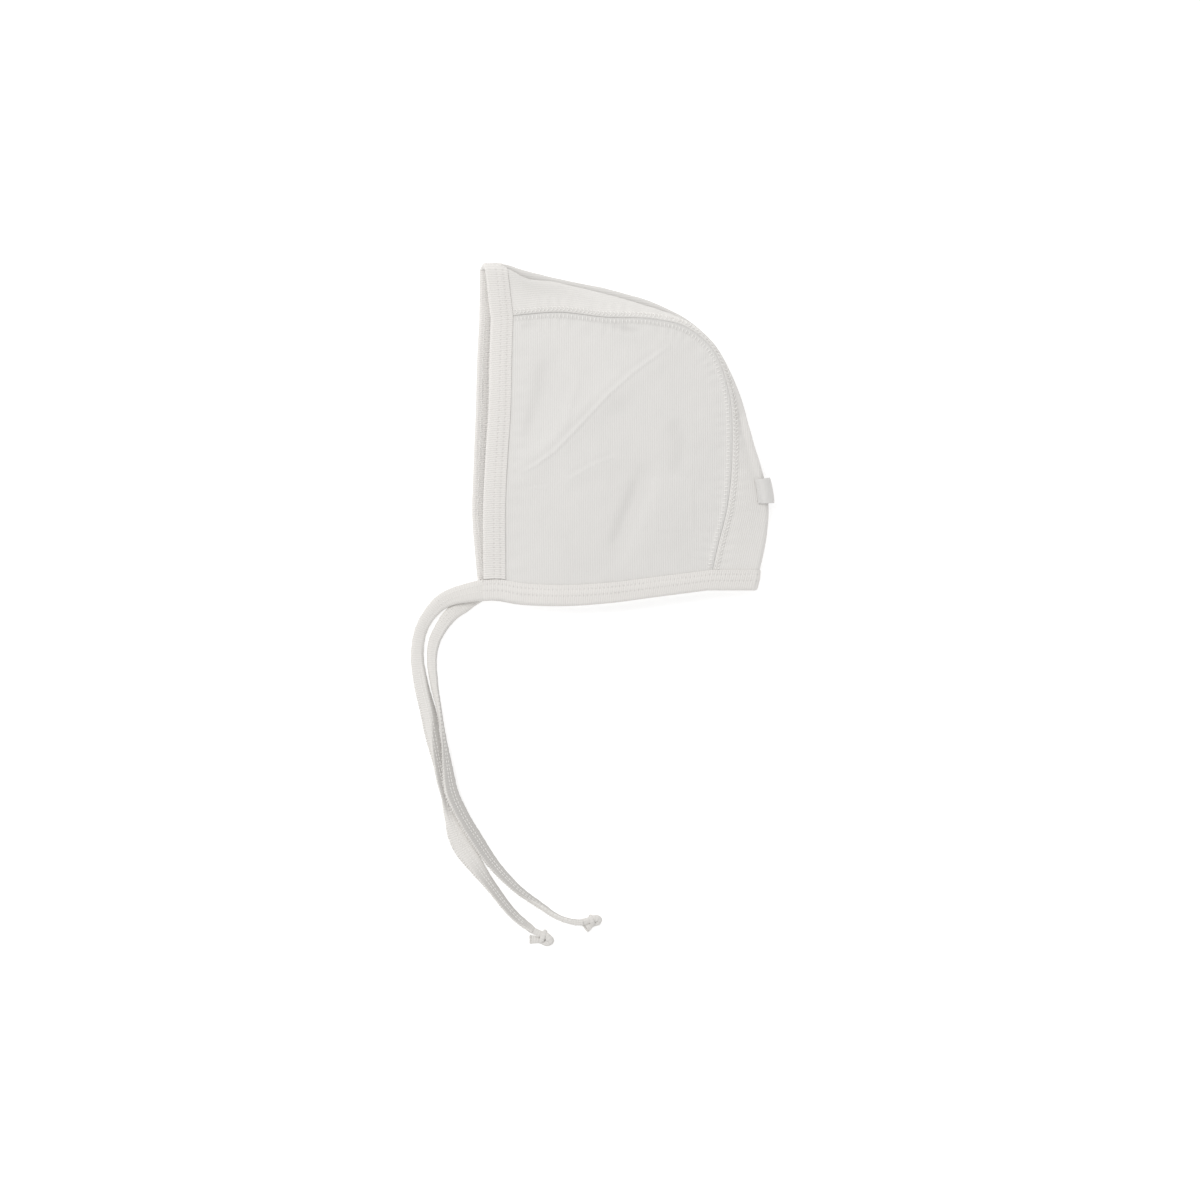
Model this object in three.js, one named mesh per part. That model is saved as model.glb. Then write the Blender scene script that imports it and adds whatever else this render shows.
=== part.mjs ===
// A baby's rib knit bonnet with ties, laid flat on its right side.
// X runs from the face edge to the back of the head, Y from the neck to the crown,
// and Z up from the surface that the bonnet lies on. Lengths are in millimetres.

import * as THREE from "three";

// Driving sizes
const bonnetDepth = 148;
const bonnetHeight = 171.5;
const laidLoft = 20;
const clothThick = 1;
const pieceGap = 0.3;
const faceBandWidth = 11.4;
const neckBandWidth = 10.7;
const gussetHalfWidth = 26.5;
const panelDome = 2.4;
const layerGap = 0.5;
const restGap = 0.12;
const lowerTuck = 3.5;
const channelSlope = 7;
const tieWidth = 6;
const tieThick = 2.4;
const knotLength = 10.5;
const knotWidth = 6.2;
const knotHeight = 4.6;
const labelWidth = 12;
const labelThick = 0.6;
const labelReach = 7.5;
const labelStand = 2.2;
const labelPlace = 0.333;

// Sizes that follow from them
const leafInside = clothThick / 2 + pieceGap;
const leafOutside = leafInside + clothThick;
const lyingHeight = clothThick / 2;
const channelHeight = leafOutside + restGap;
const cornerHeight = 3 * leafOutside + layerGap;
const seamGap = 0.65 * pieceGap;
const edgeInset = clothThick + pieceGap;
const bandMiddle = 0.55;

// Shares of a fold's height at which it turns, where it is round and where it is pleated,
// and how fast the cloth eases from one height to the next
const roundHigh = (1 + Math.SQRT1_2) / 2;
const pleatHigh = 0.74;
const pleatLow = 0.22;
const foldReach = 0.8;
const seamEase = 0.42;
const lyingEase = 0.7;

// Mesh counts
const upperCells = 22;
const lowerCells = 11;
const gussetRows = 32;
const stepsPerSpan = 2;
const tieSides = 8;
const tieSteps = 34;
const knotSides = 12;
const labelCells = 3;
const walkSteps = 160;
const fineStep = 0.002;
const seamStep = 0.015;
const searchSteps = 40;

// The seam between side panel and gusset, from the face edge over the crown to the neck.
// across and up are shares of depth and height, turn is the way the gusset leaves the seam,
// near, waist and far are where its folds lie, as shares of its half width, and the rises
// are shares of the loft.
const seamTable = [
  { across: 0.059, up: 0.835, turn: 93, near: 0.963, waist: 1.0, far: 0.963, seam: 0.425, fold: 0.425 },
  { across: 0.137, up: 0.843, turn: 92, near: 0.87, waist: 0.86, far: 0.94, seam: 0.475, fold: 0.445 },
  { across: 0.185, up: 0.847, turn: 91, near: 0.69, waist: 0.63, far: 0.82, seam: 0.52, fold: 0.465 },
  { across: 0.282, up: 0.852, turn: 90, near: 0.567, waist: 0.46, far: 0.64, seam: 0.6, fold: 0.5 },
  { across: 0.446, up: 0.837, turn: 89, near: 0.438, waist: 0.32, far: 0.528, seam: 0.75, fold: 0.6 },
  { across: 0.609, up: 0.83, turn: 82, near: 0.204, waist: 0.1, far: 0.283, seam: 0.86, fold: 0.7 },
  { across: 0.708, up: 0.81, turn: 60, near: 0.113, waist: 0.02, far: 0.121, seam: 0.9, fold: 0.74 },
  { across: 0.798, up: 0.749, turn: 34, near: 0.075, waist: -0.02, far: 0.07, seam: 0.9, fold: 0.76 },
  { across: 0.855, up: 0.629, turn: 13, near: 0.163, waist: 0.085, far: 0.158, seam: 0.88, fold: 0.7 },
  { across: 0.87, up: 0.459, turn: 3, near: 0.4, waist: 0.427, far: 0.393, seam: 0.84, fold: 0.6 },
  { across: 0.855, up: 0.29, turn: 0, near: 0.72, waist: 0.766, far: 0.72, seam: 0.76, fold: 0.5 },
  { across: 0.822, up: 0.17, turn: 0, near: 0.84, waist: 0.88, far: 0.84, seam: 0.66, fold: 0.44 },
  { across: 0.79, up: 0.045, turn: 0, near: 0.828, waist: 0.866, far: 0.828, seam: 0.55, fold: 0.43 },
];

// The upper layer's face edge from the neck to the seam. The last point is the seam's first.
const upperFaceTable = [
  { across: 0.036, up: 0.015, rise: cornerHeight / laidLoft },
  { across: 0.034, up: 0.152, rise: 0.42 },
  { across: 0.034, up: 0.292, rise: 0.54 },
  { across: 0.042, up: 0.432, rise: 0.6 },
  { across: 0.052, up: 0.574, rise: 0.6 },
  { across: 0.055, up: 0.714, rise: 0.54 },
  { across: 0.059, up: 0.835, rise: 0.425 },
];

// The lower layer's face edge shows beyond the upper one.
const lowerFaceTable = [
  { across: 0.022, up: 0.013 },
  { across: 0.006, up: 0.149 },
  { across: -0.004, up: 0.265 },
  { across: 0.0, up: 0.397 },
  { across: 0.008, up: 0.572 },
  { across: 0.0125, up: 0.714 },
  { across: 0.02, up: 0.835 },
];

// The upper layer's neck edge from the face to the seam. Its ends are the two tables' ends.
const neckTable = [
  { across: 0.036, up: 0.015, rise: cornerHeight / laidLoft },
  { across: 0.077, up: 0.017, rise: 0.33 },
  { across: 0.159, up: 0.006, rise: 0.44 },
  { across: 0.282, up: 0.0, rise: 0.54 },
  { across: 0.446, up: 0.007, rise: 0.58 },
  { across: 0.61, up: 0.025, rise: 0.58 },
  { across: 0.79, up: 0.045, rise: 0.55 },
];

// Creases and soft hollows in the upper panel, each from one point to another. rise is a
// share of the loft, and spread a share of the depth.
const creaseTable = [
  { fromX: 0.69, fromY: 0.77, toX: 0.46, toY: 0.61, rise: 0.09, spread: 0.03 },
  { fromX: 0.46, fromY: 0.61, toX: 0.13, toY: 0.37, rise: 0.08, spread: 0.03 },
  { fromX: 0.49, fromY: 0.43, toX: 0.31, toY: 0.36, rise: 0.04, spread: 0.025 },
  { fromX: 0.28, fromY: 0.72, toX: 0.2, toY: 0.48, rise: -0.06, spread: 0.045 },
  { fromX: 0.58, fromY: 0.37, toX: 0.49, toY: 0.16, rise: -0.06, spread: 0.04 },
  { fromX: 0.25, fromY: 0.82, toX: 0.58, toY: 0.75, rise: -0.07, spread: 0.04 },
];

// The ties' routes, chosen by hand, with the height of the middle of the tie. The right
// one rises over the left one where they lie one on the other.
const leftTieRoute = [
  [-69.4, -77.9, 6.0], [-75.6, -78.6, 5.7], [-81.3, -80.3, 4.6], [-86.9, -82.8, 3.2],
  [-92.5, -87.0, 2.1], [-97.4, -92.9, 1.6], [-100.3, -98.6, 1.4], [-101.7, -104.9, 1.35],
  [-101.9, -111.9, 1.35], [-101.1, -118.9, 1.35], [-99.9, -125.9, 1.35], [-98.3, -132.9, 1.35],
  [-96.8, -140.0, 1.35], [-94.9, -150.5, 1.35], [-92.8, -159.8, 1.35], [-90.4, -168.9, 1.35],
  [-87.4, -180.8, 1.35], [-85.4, -189.3, 1.35], [-82.6, -197.7, 1.35], [-79.0, -206.1, 1.35],
  [-73.6, -214.5, 1.35], [-66.6, -224.0, 1.35], [-58.9, -234.0, 1.35], [-51.2, -242.3, 1.35],
  [-44.3, -247.8, 1.35],
];
const rightTieRoute = [
  [-72.7, -79.3, 1.9], [-75.8, -81.6, 1.7], [-79.4, -85.0, 1.45], [-84.0, -88.6, 1.35],
  [-88.8, -93.9, 1.35], [-92.2, -101.3, 1.35], [-93.9, -109.1, 1.35], [-94.1, -116.1, 1.35],
  [-93.1, -124.5, 1.35], [-91.5, -132.9, 2.0], [-90.0, -143.5, 3.1], [-88.6, -152.6, 3.7],
  [-86.7, -166.8, 4.1], [-84.2, -179.4, 4.2], [-79.3, -190.6, 3.6], [-72.5, -201.8, 2.4],
  [-65.5, -212.4, 1.5], [-58.4, -220.8, 1.35], [-50.3, -228.5, 1.35], [-40.5, -235.5, 1.35],
  [-31.5, -240.9, 1.35], [-23.0, -243.4, 1.35], [-19.2, -243.6, 1.35],
];

// A tie's knot, from where the tie goes in to the cut end. along is a share of its length,
// and the others of its width and height.
const knotTable = [
  { along: 0.0, wide: 0.5, high: 0.55, aside: 0.0 },
  { along: 0.08, wide: 0.84, high: 0.88, aside: 0.02 },
  { along: 0.22, wide: 1.0, high: 1.0, aside: 0.05 },
  { along: 0.34, wide: 0.86, high: 0.88, aside: 0.0 },
  { along: 0.46, wide: 0.98, high: 0.96, aside: -0.06 },
  { along: 0.58, wide: 0.72, high: 0.7, aside: -0.08 },
  { along: 0.68, wide: 0.42, high: 0.42, aside: -0.04 },
  { along: 0.84, wide: 0.52, high: 0.38, aside: 0.08 },
  { along: 1.0, wide: 0.4, high: 0.28, aside: 0.2 },
];

// Interpolation
function mix(from, to, share) {
  return from + (to - from) * share;
}

function smoothShare(share) {
  const t = Math.min(1, Math.max(0, share));
  return t * t * (3 - 2 * t);
}

// The slope at one of the given values, weighed by its neighbours' distances.
function slopeAt(places, values, k) {
  const last = places.length - 1;
  const step = (i) => (values[i + 1] - values[i]) / (places[i + 1] - places[i]);
  if (k === 0) return step(0);
  if (k === last) return step(last - 1);
  const before = places[k] - places[k - 1];
  const after = places[k + 1] - places[k];
  return (step(k - 1) * after + step(k) * before) / (before + after);
}

// A smooth value at place t, through values given at rising places.
function smoothAt(places, values, t) {
  let k = 0;
  while (k < places.length - 2 && t > places[k + 1]) k += 1;
  const width = places[k + 1] - places[k];
  const u = (t - places[k]) / width;
  const rise = values[k + 1] - values[k];
  const startSlope = slopeAt(places, values, k) * width;
  const endSlope = slopeAt(places, values, k + 1) * width;
  const bend = startSlope + endSlope - 2 * rise;
  return values[k] + u * (startSlope + u * (3 * rise - 2 * startSlope - endSlope + u * bend));
}

// A table's rows as smooth columns over its own length, from 0 to 1.
function guide(table) {
  const columns = { x: [], y: [] };
  const places = [0];
  table.forEach((row, i) => {
    columns.x.push((row.across - 0.5) * bonnetDepth);
    columns.y.push((row.up - 0.5) * bonnetHeight);
    for (const [name, value] of Object.entries(row)) {
      columns[name] = columns[name] || [];
      columns[name].push(value);
    }
    if (i === 0) return;
    const step = Math.hypot(columns.x[i] - columns.x[i - 1], columns.y[i] - columns.y[i - 1]);
    places.push(places[i - 1] + step);
  });
  const length = places[places.length - 1];
  const shares = places.map((place) => place / length);
  return { length, at: (name, t) => smoothAt(shares, columns[name], t), shares };
}

const seamGuide = guide(seamTable);
const upperFaceGuide = guide(upperFaceTable);
const lowerFaceGuide = guide(lowerFaceTable);
const neckGuide = guide(neckTable);

// The seam's place where the side panel's fourth corner lies, at the middle of the bend.
const bendRow = 7;
const bendPlace = mix(seamGuide.shares[bendRow - 1], seamGuide.shares[bendRow], 0.5);
const crownRun = seamGuide.length * bendPlace;
const backRun = seamGuide.length - crownRun;

// How far the lower layer is pushed up off the surface by the bands' inner leaf.
function channelShare(distance, bandWidth) {
  return 1 - smoothShare((distance - bandWidth) / channelSlope);
}

function lowerHeight(faceDistance, neckDistance) {
  const flatByFace = 1 - channelShare(faceDistance, faceBandWidth);
  const flatByNeck = 1 - channelShare(neckDistance, neckBandWidth);
  return mix(channelHeight, lyingHeight, flatByFace * flatByNeck);
}

function lowerSeamHeight(s) {
  return lowerHeight(s * seamGuide.length, (1 - s) * seamGuide.length);
}

// Points of the seams, on the middle of the cloth
function seamPoint(s, outward = 0) {
  const turn = THREE.MathUtils.degToRad(seamGuide.at("turn", s));
  const x = seamGuide.at("x", s) + outward * Math.cos(turn);
  const y = seamGuide.at("y", s) + outward * Math.sin(turn);
  return new THREE.Vector3(x, y, seamGuide.at("seam", s) * laidLoft);
}

// The lower layer's face end lies further forward than the upper one's.
function layerSlide(s) {
  const fade = 1 - smoothShare(s / bendPlace);
  return fade * (lowerFaceGuide.at("x", 1) - upperFaceGuide.at("x", 1));
}

function lowerSeamOffset(s) {
  return -lowerTuck * Math.sin(Math.PI * s) ** 2;
}

function lowerSeamPoint(s, outward = 0) {
  const point = seamPoint(s, lowerSeamOffset(s) + outward);
  point.x += layerSlide(s);
  point.z = lowerSeamHeight(s);
  return point;
}

// The gusset's surface. s runs along the seam, and v across from the upper seam over the
// fold to the lower one.
function gussetPoint(s, v, inset = 0) {
  const near = seamGuide.at("near", s) * gussetHalfWidth;
  const waist = seamGuide.at("waist", s) * gussetHalfWidth;
  const far = seamGuide.at("far", s) * gussetHalfWidth;
  const seamTop = seamGuide.at("seam", s) * laidLoft;
  const foldTop = seamGuide.at("fold", s) * laidLoft;
  const foldHeight = foldTop - channelHeight;
  const pleat = smoothShare(((near + far) / 2 - waist) / clothThick);
  const nearShare = mix(roundHigh, pleatHigh, pleat);
  const farShare = mix(1 - roundHigh, pleatLow, pleat);
  const roundOf = (width) => Math.SQRT1_2 * Math.min(foldHeight / 2, foldReach * Math.abs(width));
  const nearTop = near - roundOf(near);
  const farLow = far - roundOf(far);
  const seamOffset = lowerSeamOffset(s);
  const seamLow = lowerSeamHeight(s);
  const section = [
    [inset, seamTop],
    [nearTop / 2, mix(seamTop, foldTop, seamEase)],
    [nearTop, foldTop],
    [near, channelHeight + nearShare * foldHeight],
    [waist, channelHeight + 0.5 * foldHeight],
    [far, channelHeight + farShare * foldHeight],
    [farLow, channelHeight],
    [(seamOffset + farLow) / 2, mix(channelHeight, seamLow, lyingEase)],
    [seamOffset + inset, seamLow],
  ];
  const places = section.map((_, i) => i / (section.length - 1));
  const out = smoothAt(places, section.map((row) => row[0]), v);
  const high = smoothAt(places, section.map((row) => row[1]), v);
  const point = seamPoint(s, out);
  point.x += layerSlide(s) * v;
  point.z = high;
  return point;
}

// The four edges of a side panel, p from the face to the seam and q from the neck to the seam
function guidePoint(edge, share) {
  return new THREE.Vector3(edge.at("x", share), edge.at("y", share), edge.at("rise", share) * laidLoft);
}

function upperEdges() {
  return {
    face: (q) => guidePoint(upperFaceGuide, q),
    neck: (p) => guidePoint(neckGuide, p),
    seam: (s) => seamPoint(s, -seamGap),
  };
}

function lowerEdges() {
  const slide = new THREE.Vector2(
    lowerFaceGuide.at("x", 0) - neckGuide.at("x", 0),
    lowerFaceGuide.at("y", 0) - neckGuide.at("y", 0),
  );
  const neck = (p) => {
    const fade = (1 - p) ** 2;
    return new THREE.Vector3(
      neckGuide.at("x", p) + slide.x * fade,
      neckGuide.at("y", p) + slide.y * fade,
      channelHeight,
    );
  };
  return {
    face: (q) => new THREE.Vector3(lowerFaceGuide.at("x", q), lowerFaceGuide.at("y", q), channelHeight),
    neck,
    seam: (s) => lowerSeamPoint(s, -seamGap),
  };
}

// A patch that meets its four edges
function edgePatch(edges) {
  const crown = (p) => edges.seam(bendPlace * p);
  const back = (q) => edges.seam(1 - (1 - bendPlace) * q);
  const corners = [edges.face(0), edges.neck(1), edges.face(1), crown(1)];
  return (p, q) => {
    const point = new THREE.Vector3();
    point.addScaledVector(edges.neck(p), 1 - q).addScaledVector(crown(p), q);
    point.addScaledVector(edges.face(q), 1 - p).addScaledVector(back(q), p);
    point.addScaledVector(corners[0], -(1 - p) * (1 - q)).addScaledVector(corners[1], -p * (1 - q));
    point.addScaledVector(corners[2], -(1 - p) * q).addScaledVector(corners[3], -p * q);
    return point;
  };
}

// The height that the creases give a point of the upper panel
function creaseHeight(x, y) {
  let height = 0;
  for (const row of creaseTable) {
    const from = new THREE.Vector2((row.fromX - 0.5) * bonnetDepth, (row.fromY - 0.5) * bonnetHeight);
    const to = new THREE.Vector2((row.toX - 0.5) * bonnetDepth, (row.toY - 0.5) * bonnetHeight);
    const way = to.clone().sub(from);
    const share = ((x - from.x) * way.x + (y - from.y) * way.y) / way.lengthSq();
    const along = Math.min(1, Math.max(0, share));
    const away = Math.hypot(x - from.x - way.x * along, y - from.y - way.y * along);
    height += row.rise * laidLoft * Math.exp(-((away / (row.spread * bonnetDepth)) ** 2));
  }
  return height;
}

const upperPatch = edgePatch(upperEdges());
const lowerPatch = edgePatch(lowerEdges());

function upperPoint(p, q) {
  const point = upperPatch(p, q);
  const swell = Math.sin(Math.PI * p) * Math.sin(Math.PI * q);
  const inside = smoothShare(4 * p * (1 - p)) * smoothShare(4 * q * (1 - q));
  point.z += panelDome * swell + inside * creaseHeight(point.x, point.y);
  return point;
}

function lowerPoint(p, q) {
  const point = lowerPatch(p, q);
  point.z = lowerHeight(p * crownRun, q * backRun);
  return point;
}

// The parameter at which a line over the cloth is a given distance long
function walk(line, distance) {
  let before = line(0);
  let length = 0;
  for (let i = 1; i <= walkSteps; i += 1) {
    const after = line(i / walkSteps);
    const step = before.distanceTo(after);
    if (length + step >= distance) return (i - 1 + (distance - length) / step) / walkSteps;
    length += step;
    before = after;
  }
  return 1;
}

function insetFromFace(surface, q, distance) {
  return walk((t) => surface(t, q), distance);
}

function insetFromNeck(surface, p, distance) {
  return walk((t) => surface(p, t), distance);
}

// Grids of points
function sharesOf(count) {
  return Array.from({ length: count + 1 }, (_, i) => i / count);
}

// Shares with extra lines where the lower cloth climbs into a band
function bandedShares(count, run, bandWidth) {
  const climb = [bandWidth, bandWidth + channelSlope / 2, bandWidth + channelSlope];
  const start = climb.map((distance) => distance / run);
  const rest = sharesOf(count).slice(1).map((share) => mix(start[2], 1, share));
  return [0, start[0] / 2, ...start, ...rest];
}

// The way out of a surface, from two short steps along it
function facing(surface, a, b, sign) {
  const less = (share) => Math.max(0, share - fineStep);
  const more = (share) => Math.min(1, share + fineStep);
  const alongA = surface(more(a), b).sub(surface(less(a), b));
  const alongB = surface(a, more(b)).sub(surface(a, less(b)));
  return alongA.cross(alongB).normalize().multiplyScalar(sign);
}

// The cloth's outward direction at a seam, half way between panel and gusset, so that
// their two edges meet as a mitre
function seamNormal(s, lower) {
  const place = Math.min(1 - fineStep, Math.max(fineStep, s));
  const edge = lower ? lowerSeamPoint : seamPoint;
  const along = edge(place + fineStep).sub(edge(place - fineStep)).normalize();
  const onSeam = edge(place);
  const v = lower ? 1 - seamStep : seamStep;
  const gusset = gussetPoint(place, v).sub(onSeam).normalize();
  const onCrown = place < bendPlace;
  const surface = lower ? lowerPoint : upperPoint;
  const p = onCrown ? place / bendPlace : 1 - seamStep;
  const q = onCrown ? 1 - seamStep : (1 - place) / (1 - bendPlace);
  const panel = surface(p, q).sub(onSeam).normalize();
  const panelSide = along.clone().cross(panel).normalize().multiplyScalar(-1);
  const gussetSide = along.clone().cross(gusset).normalize();
  const normal = panelSide.add(gussetSide).normalize();
  return lower ? normal.multiplyScalar(-1) : normal;
}

// Places on the cloth: where a point is, and which way out of the bonnet it faces
function panelPlace(lower) {
  const surface = lower ? lowerPoint : upperPoint;
  return (p, q) => {
    const onCrown = q > 1 - fineStep;
    const onBack = p > 1 - fineStep;
    const s = onCrown ? bendPlace * p : 1 - (1 - bendPlace) * q;
    const out = onCrown || onBack ? seamNormal(s, lower) : facing(surface, p, q, lower ? -1 : 1);
    return { at: surface(p, q), out };
  };
}

function gussetPlace(s, v, inset = 0) {
  const onSeam = v === 0 || v === 1;
  const out = onSeam ? seamNormal(s, v === 1) : facing(gussetPoint, s, v, 1);
  return { at: gussetPoint(s, v, inset), out };
}

function raised(place, height) {
  return place.at.clone().addScaledVector(place.out, height);
}

// Closed solids
function closedMesh(name, positions, triangles, material) {
  let volume = 0;
  for (let i = 0; i < triangles.length; i += 3) {
    const [a, b, c] = triangles.slice(i, i + 3).map((k) => positions[k]);
    volume += a.dot(b.clone().cross(c));
  }
  const facing = volume > 0 ? triangles : triangles.slice().reverse();
  const geometry = new THREE.BufferGeometry();
  const numbers = positions.flatMap((point) => point.toArray());
  geometry.setAttribute("position", new THREE.Float32BufferAttribute(numbers, 3));
  geometry.setIndex(facing);
  geometry.computeVertexNormals();
  const mesh = new THREE.Mesh(geometry, material);
  mesh.name = name;
  return mesh;
}

// A piece of cloth with its outer and inner face and its four edges
function slab(name, outer, inner, material) {
  const rows = outer.length;
  const columns = outer[0].length;
  const positions = [...outer.flat(), ...inner.flat()];
  const top = (i, j) => i * columns + j;
  const bottom = (i, j) => rows * columns + top(i, j);
  const triangles = [];
  const quad = (a, b, c, d) => triangles.push(a, b, c, a, c, d);
  for (let i = 0; i < rows - 1; i += 1) {
    for (let j = 0; j < columns - 1; j += 1) {
      quad(top(i, j), top(i, j + 1), top(i + 1, j + 1), top(i + 1, j));
      quad(bottom(i, j), bottom(i + 1, j), bottom(i + 1, j + 1), bottom(i, j + 1));
    }
    quad(top(i, 0), top(i + 1, 0), bottom(i + 1, 0), bottom(i, 0));
    quad(top(i + 1, columns - 1), top(i, columns - 1), bottom(i, columns - 1), bottom(i + 1, columns - 1));
  }
  for (let j = 0; j < columns - 1; j += 1) {
    quad(top(0, j + 1), top(0, j), bottom(0, j), bottom(0, j + 1));
    quad(top(rows - 1, j), top(rows - 1, j + 1), bottom(rows - 1, j + 1), bottom(rows - 1, j));
  }
  return closedMesh(name, positions, triangles, material);
}

function clothSlab(name, places, thick, material) {
  const face = (height) => places.map((line) => line.map((place) => raised(place, height)));
  return slab(name, face(thick / 2), face(-thick / 2), material);
}

// A closed section carried through rings of points, with flat ends
function sweptSolid(name, rings, contour, material) {
  const count = rings[0].length;
  const positions = rings.flat();
  const triangles = [];
  for (let i = 0; i < rings.length - 1; i += 1) {
    for (let j = 0; j < count; j += 1) {
      const next = (j + 1) % count;
      const [a, b] = [i * count + j, i * count + next];
      triangles.push(a, b, b + count, a, b + count, a + count);
    }
  }
  const lastRing = (rings.length - 1) * count;
  const sign = THREE.ShapeUtils.isClockWise(contour) ? -1 : 1;
  for (const face of THREE.ShapeUtils.triangulateShape(contour, [])) {
    const [a, b, c] = sign > 0 ? face : [face[2], face[1], face[0]];
    triangles.push(a, c, b, lastRing + a, lastRing + b, lastRing + c);
  }
  return closedMesh(name, positions, triangles, material);
}

// A band's section: how far in from the folded edge, and how far out from the cloth
function bandContour(width) {
  const middle = bandMiddle * width;
  const turn = leafOutside * (1 - Math.SQRT1_2);
  const lift = leafOutside * Math.SQRT1_2;
  return [
    [width, leafOutside], [middle, leafOutside], [leafOutside, leafOutside], [turn, lift], [0, 0],
    [turn, -lift], [leafOutside, -leafOutside], [middle, -leafOutside], [width, -leafOutside],
    [width, -leafInside], [middle, -leafInside], [clothThick, -leafInside],
    [clothThick, leafInside], [middle, leafInside], [width, leafInside],
  ].map(([inward, outward]) => new THREE.Vector2(inward, outward));
}

// A band over the cloth, from lines that each run inwards from the folded edge
function band(name, lines, width, material) {
  const contour = bandContour(width);
  const rings = lines.map((line) => contour.map((corner) => raised(line(corner.x), corner.y)));
  return sweptSolid(name, rings, contour, material);
}

// Materials
function knit(name, color, roughness) {
  const material = new THREE.MeshStandardMaterial({ color, roughness, metalness: 0 });
  material.name = name;
  return material;
}

// The side panels
function sidePanel(name, lower, pShares, qShares, material) {
  const surface = lower ? lowerPoint : upperPoint;
  const place = panelPlace(lower);
  const places = qShares.map((b) => pShares.map((a) => {
    const p = mix(insetFromFace(surface, b, edgeInset), 1, a);
    const q = mix(insetFromNeck(surface, a, edgeInset), 1, b);
    return place(p, q);
  }));
  return clothSlab(name, places, clothThick, material);
}

function leftSidePanel() {
  const shares = sharesOf(upperCells);
  return sidePanel("left_side_panel", false, shares, shares, knit("panel_knit", 0xe5e3e0, 0.95));
}

function rightSidePanel() {
  const pShares = bandedShares(lowerCells, crownRun, faceBandWidth);
  const qShares = bandedShares(lowerCells, backRun, neckBandWidth);
  const material = knit("panel_knit_lower", 0xe2e0dc, 0.95);
  return sidePanel("right_side_panel", true, pShares, qShares, material);
}

// The gusset, with the same steps across as the bands have round its ends
const acrossShares = sharesOf(8 * stepsPerSpan);

// Inside a band the gusset is cut at the band's own depths.
function gussetStations(v) {
  const inBand = (width) => [edgeInset, leafOutside, bandMiddle * width, width];
  const fromFace = inBand(faceBandWidth).map((depth) => walk((t) => gussetPoint(t, v), depth));
  const fromNeck = inBand(neckBandWidth).map((depth) => 1 - walk((t) => gussetPoint(1 - t, v), depth));
  const between = sharesOf(gussetRows).slice(1, -1).map((share) => mix(fromFace[3], fromNeck[3], share));
  return [...fromFace, ...between, ...fromNeck.reverse()];
}

function crownGusset() {
  const places = acrossShares.map((v) => gussetStations(v).map((s) => gussetPlace(s, v, seamGap)));
  return clothSlab("crown_gusset", places, clothThick, knit("gusset_knit", 0xe0deda, 0.95));
}

// The bands. Each one goes over the upper panel, round the gusset's end and back along the
// lower panel.
function bandLines(panelLine, gussetLine) {
  const upperShares = sharesOf(upperCells).slice(0, -1);
  const lowerShares = sharesOf(upperCells / 2).slice(0, -1).reverse();
  return [
    ...upperShares.map((share) => panelLine(false, share)),
    ...acrossShares.map(gussetLine),
    ...lowerShares.map((share) => panelLine(true, share)),
  ];
}

function faceBand() {
  const panelLine = (lower, share) => (depth) => {
    const surface = lower ? lowerPoint : upperPoint;
    const nearly = insetFromFace(surface, share, depth);
    const start = insetFromNeck(surface, nearly, neckBandWidth + 2 * pieceGap);
    const q = mix(start, 1, share);
    return panelPlace(lower)(insetFromFace(surface, q, depth), q);
  };
  const gussetLine = (v) => (depth) => gussetPlace(walk((t) => gussetPoint(t, v), depth), v);
  const lines = bandLines(panelLine, gussetLine);
  return band("face_band", lines, faceBandWidth, knit("band_knit", 0xe6e2de, 0.95));
}

function neckBand() {
  const panelLine = (lower, share) => (depth) => {
    const surface = lower ? lowerPoint : upperPoint;
    return panelPlace(lower)(share, insetFromNeck(surface, share, depth));
  };
  const gussetLine = (v) => (depth) => gussetPlace(1 - walk((t) => gussetPoint(1 - t, v), depth), v);
  const lines = bandLines(panelLine, gussetLine);
  return band("neck_band", lines, neckBandWidth, knit("neck_band_knit", 0xe5e2de, 0.95));
}

// The ties, flat bands that lie on the surface
function tieSection() {
  const corners = sharesOf(tieSides).slice(0, -1).map((share) => {
    const angle = 2 * Math.PI * (share + 0.5 / tieSides);
    return new THREE.Vector2(Math.cos(angle), Math.sin(angle));
  });
  const reach = Math.cos(Math.PI / tieSides);
  return new THREE.Shape(corners.map((corner) => new THREE.Vector2(
    (corner.x / reach) * (tieThick / 2),
    (corner.y / reach) * (tieWidth / 2),
  )));
}

function tie(name, route, material) {
  const points = route.map((point) => new THREE.Vector3(...point));
  const path = new THREE.CatmullRomCurve3(points, false, "centripetal");
  const geometry = new THREE.ExtrudeGeometry(tieSection(), { steps: tieSteps, extrudePath: path });
  const mesh = new THREE.Mesh(geometry, material);
  mesh.name = name;
  return mesh;
}

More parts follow.
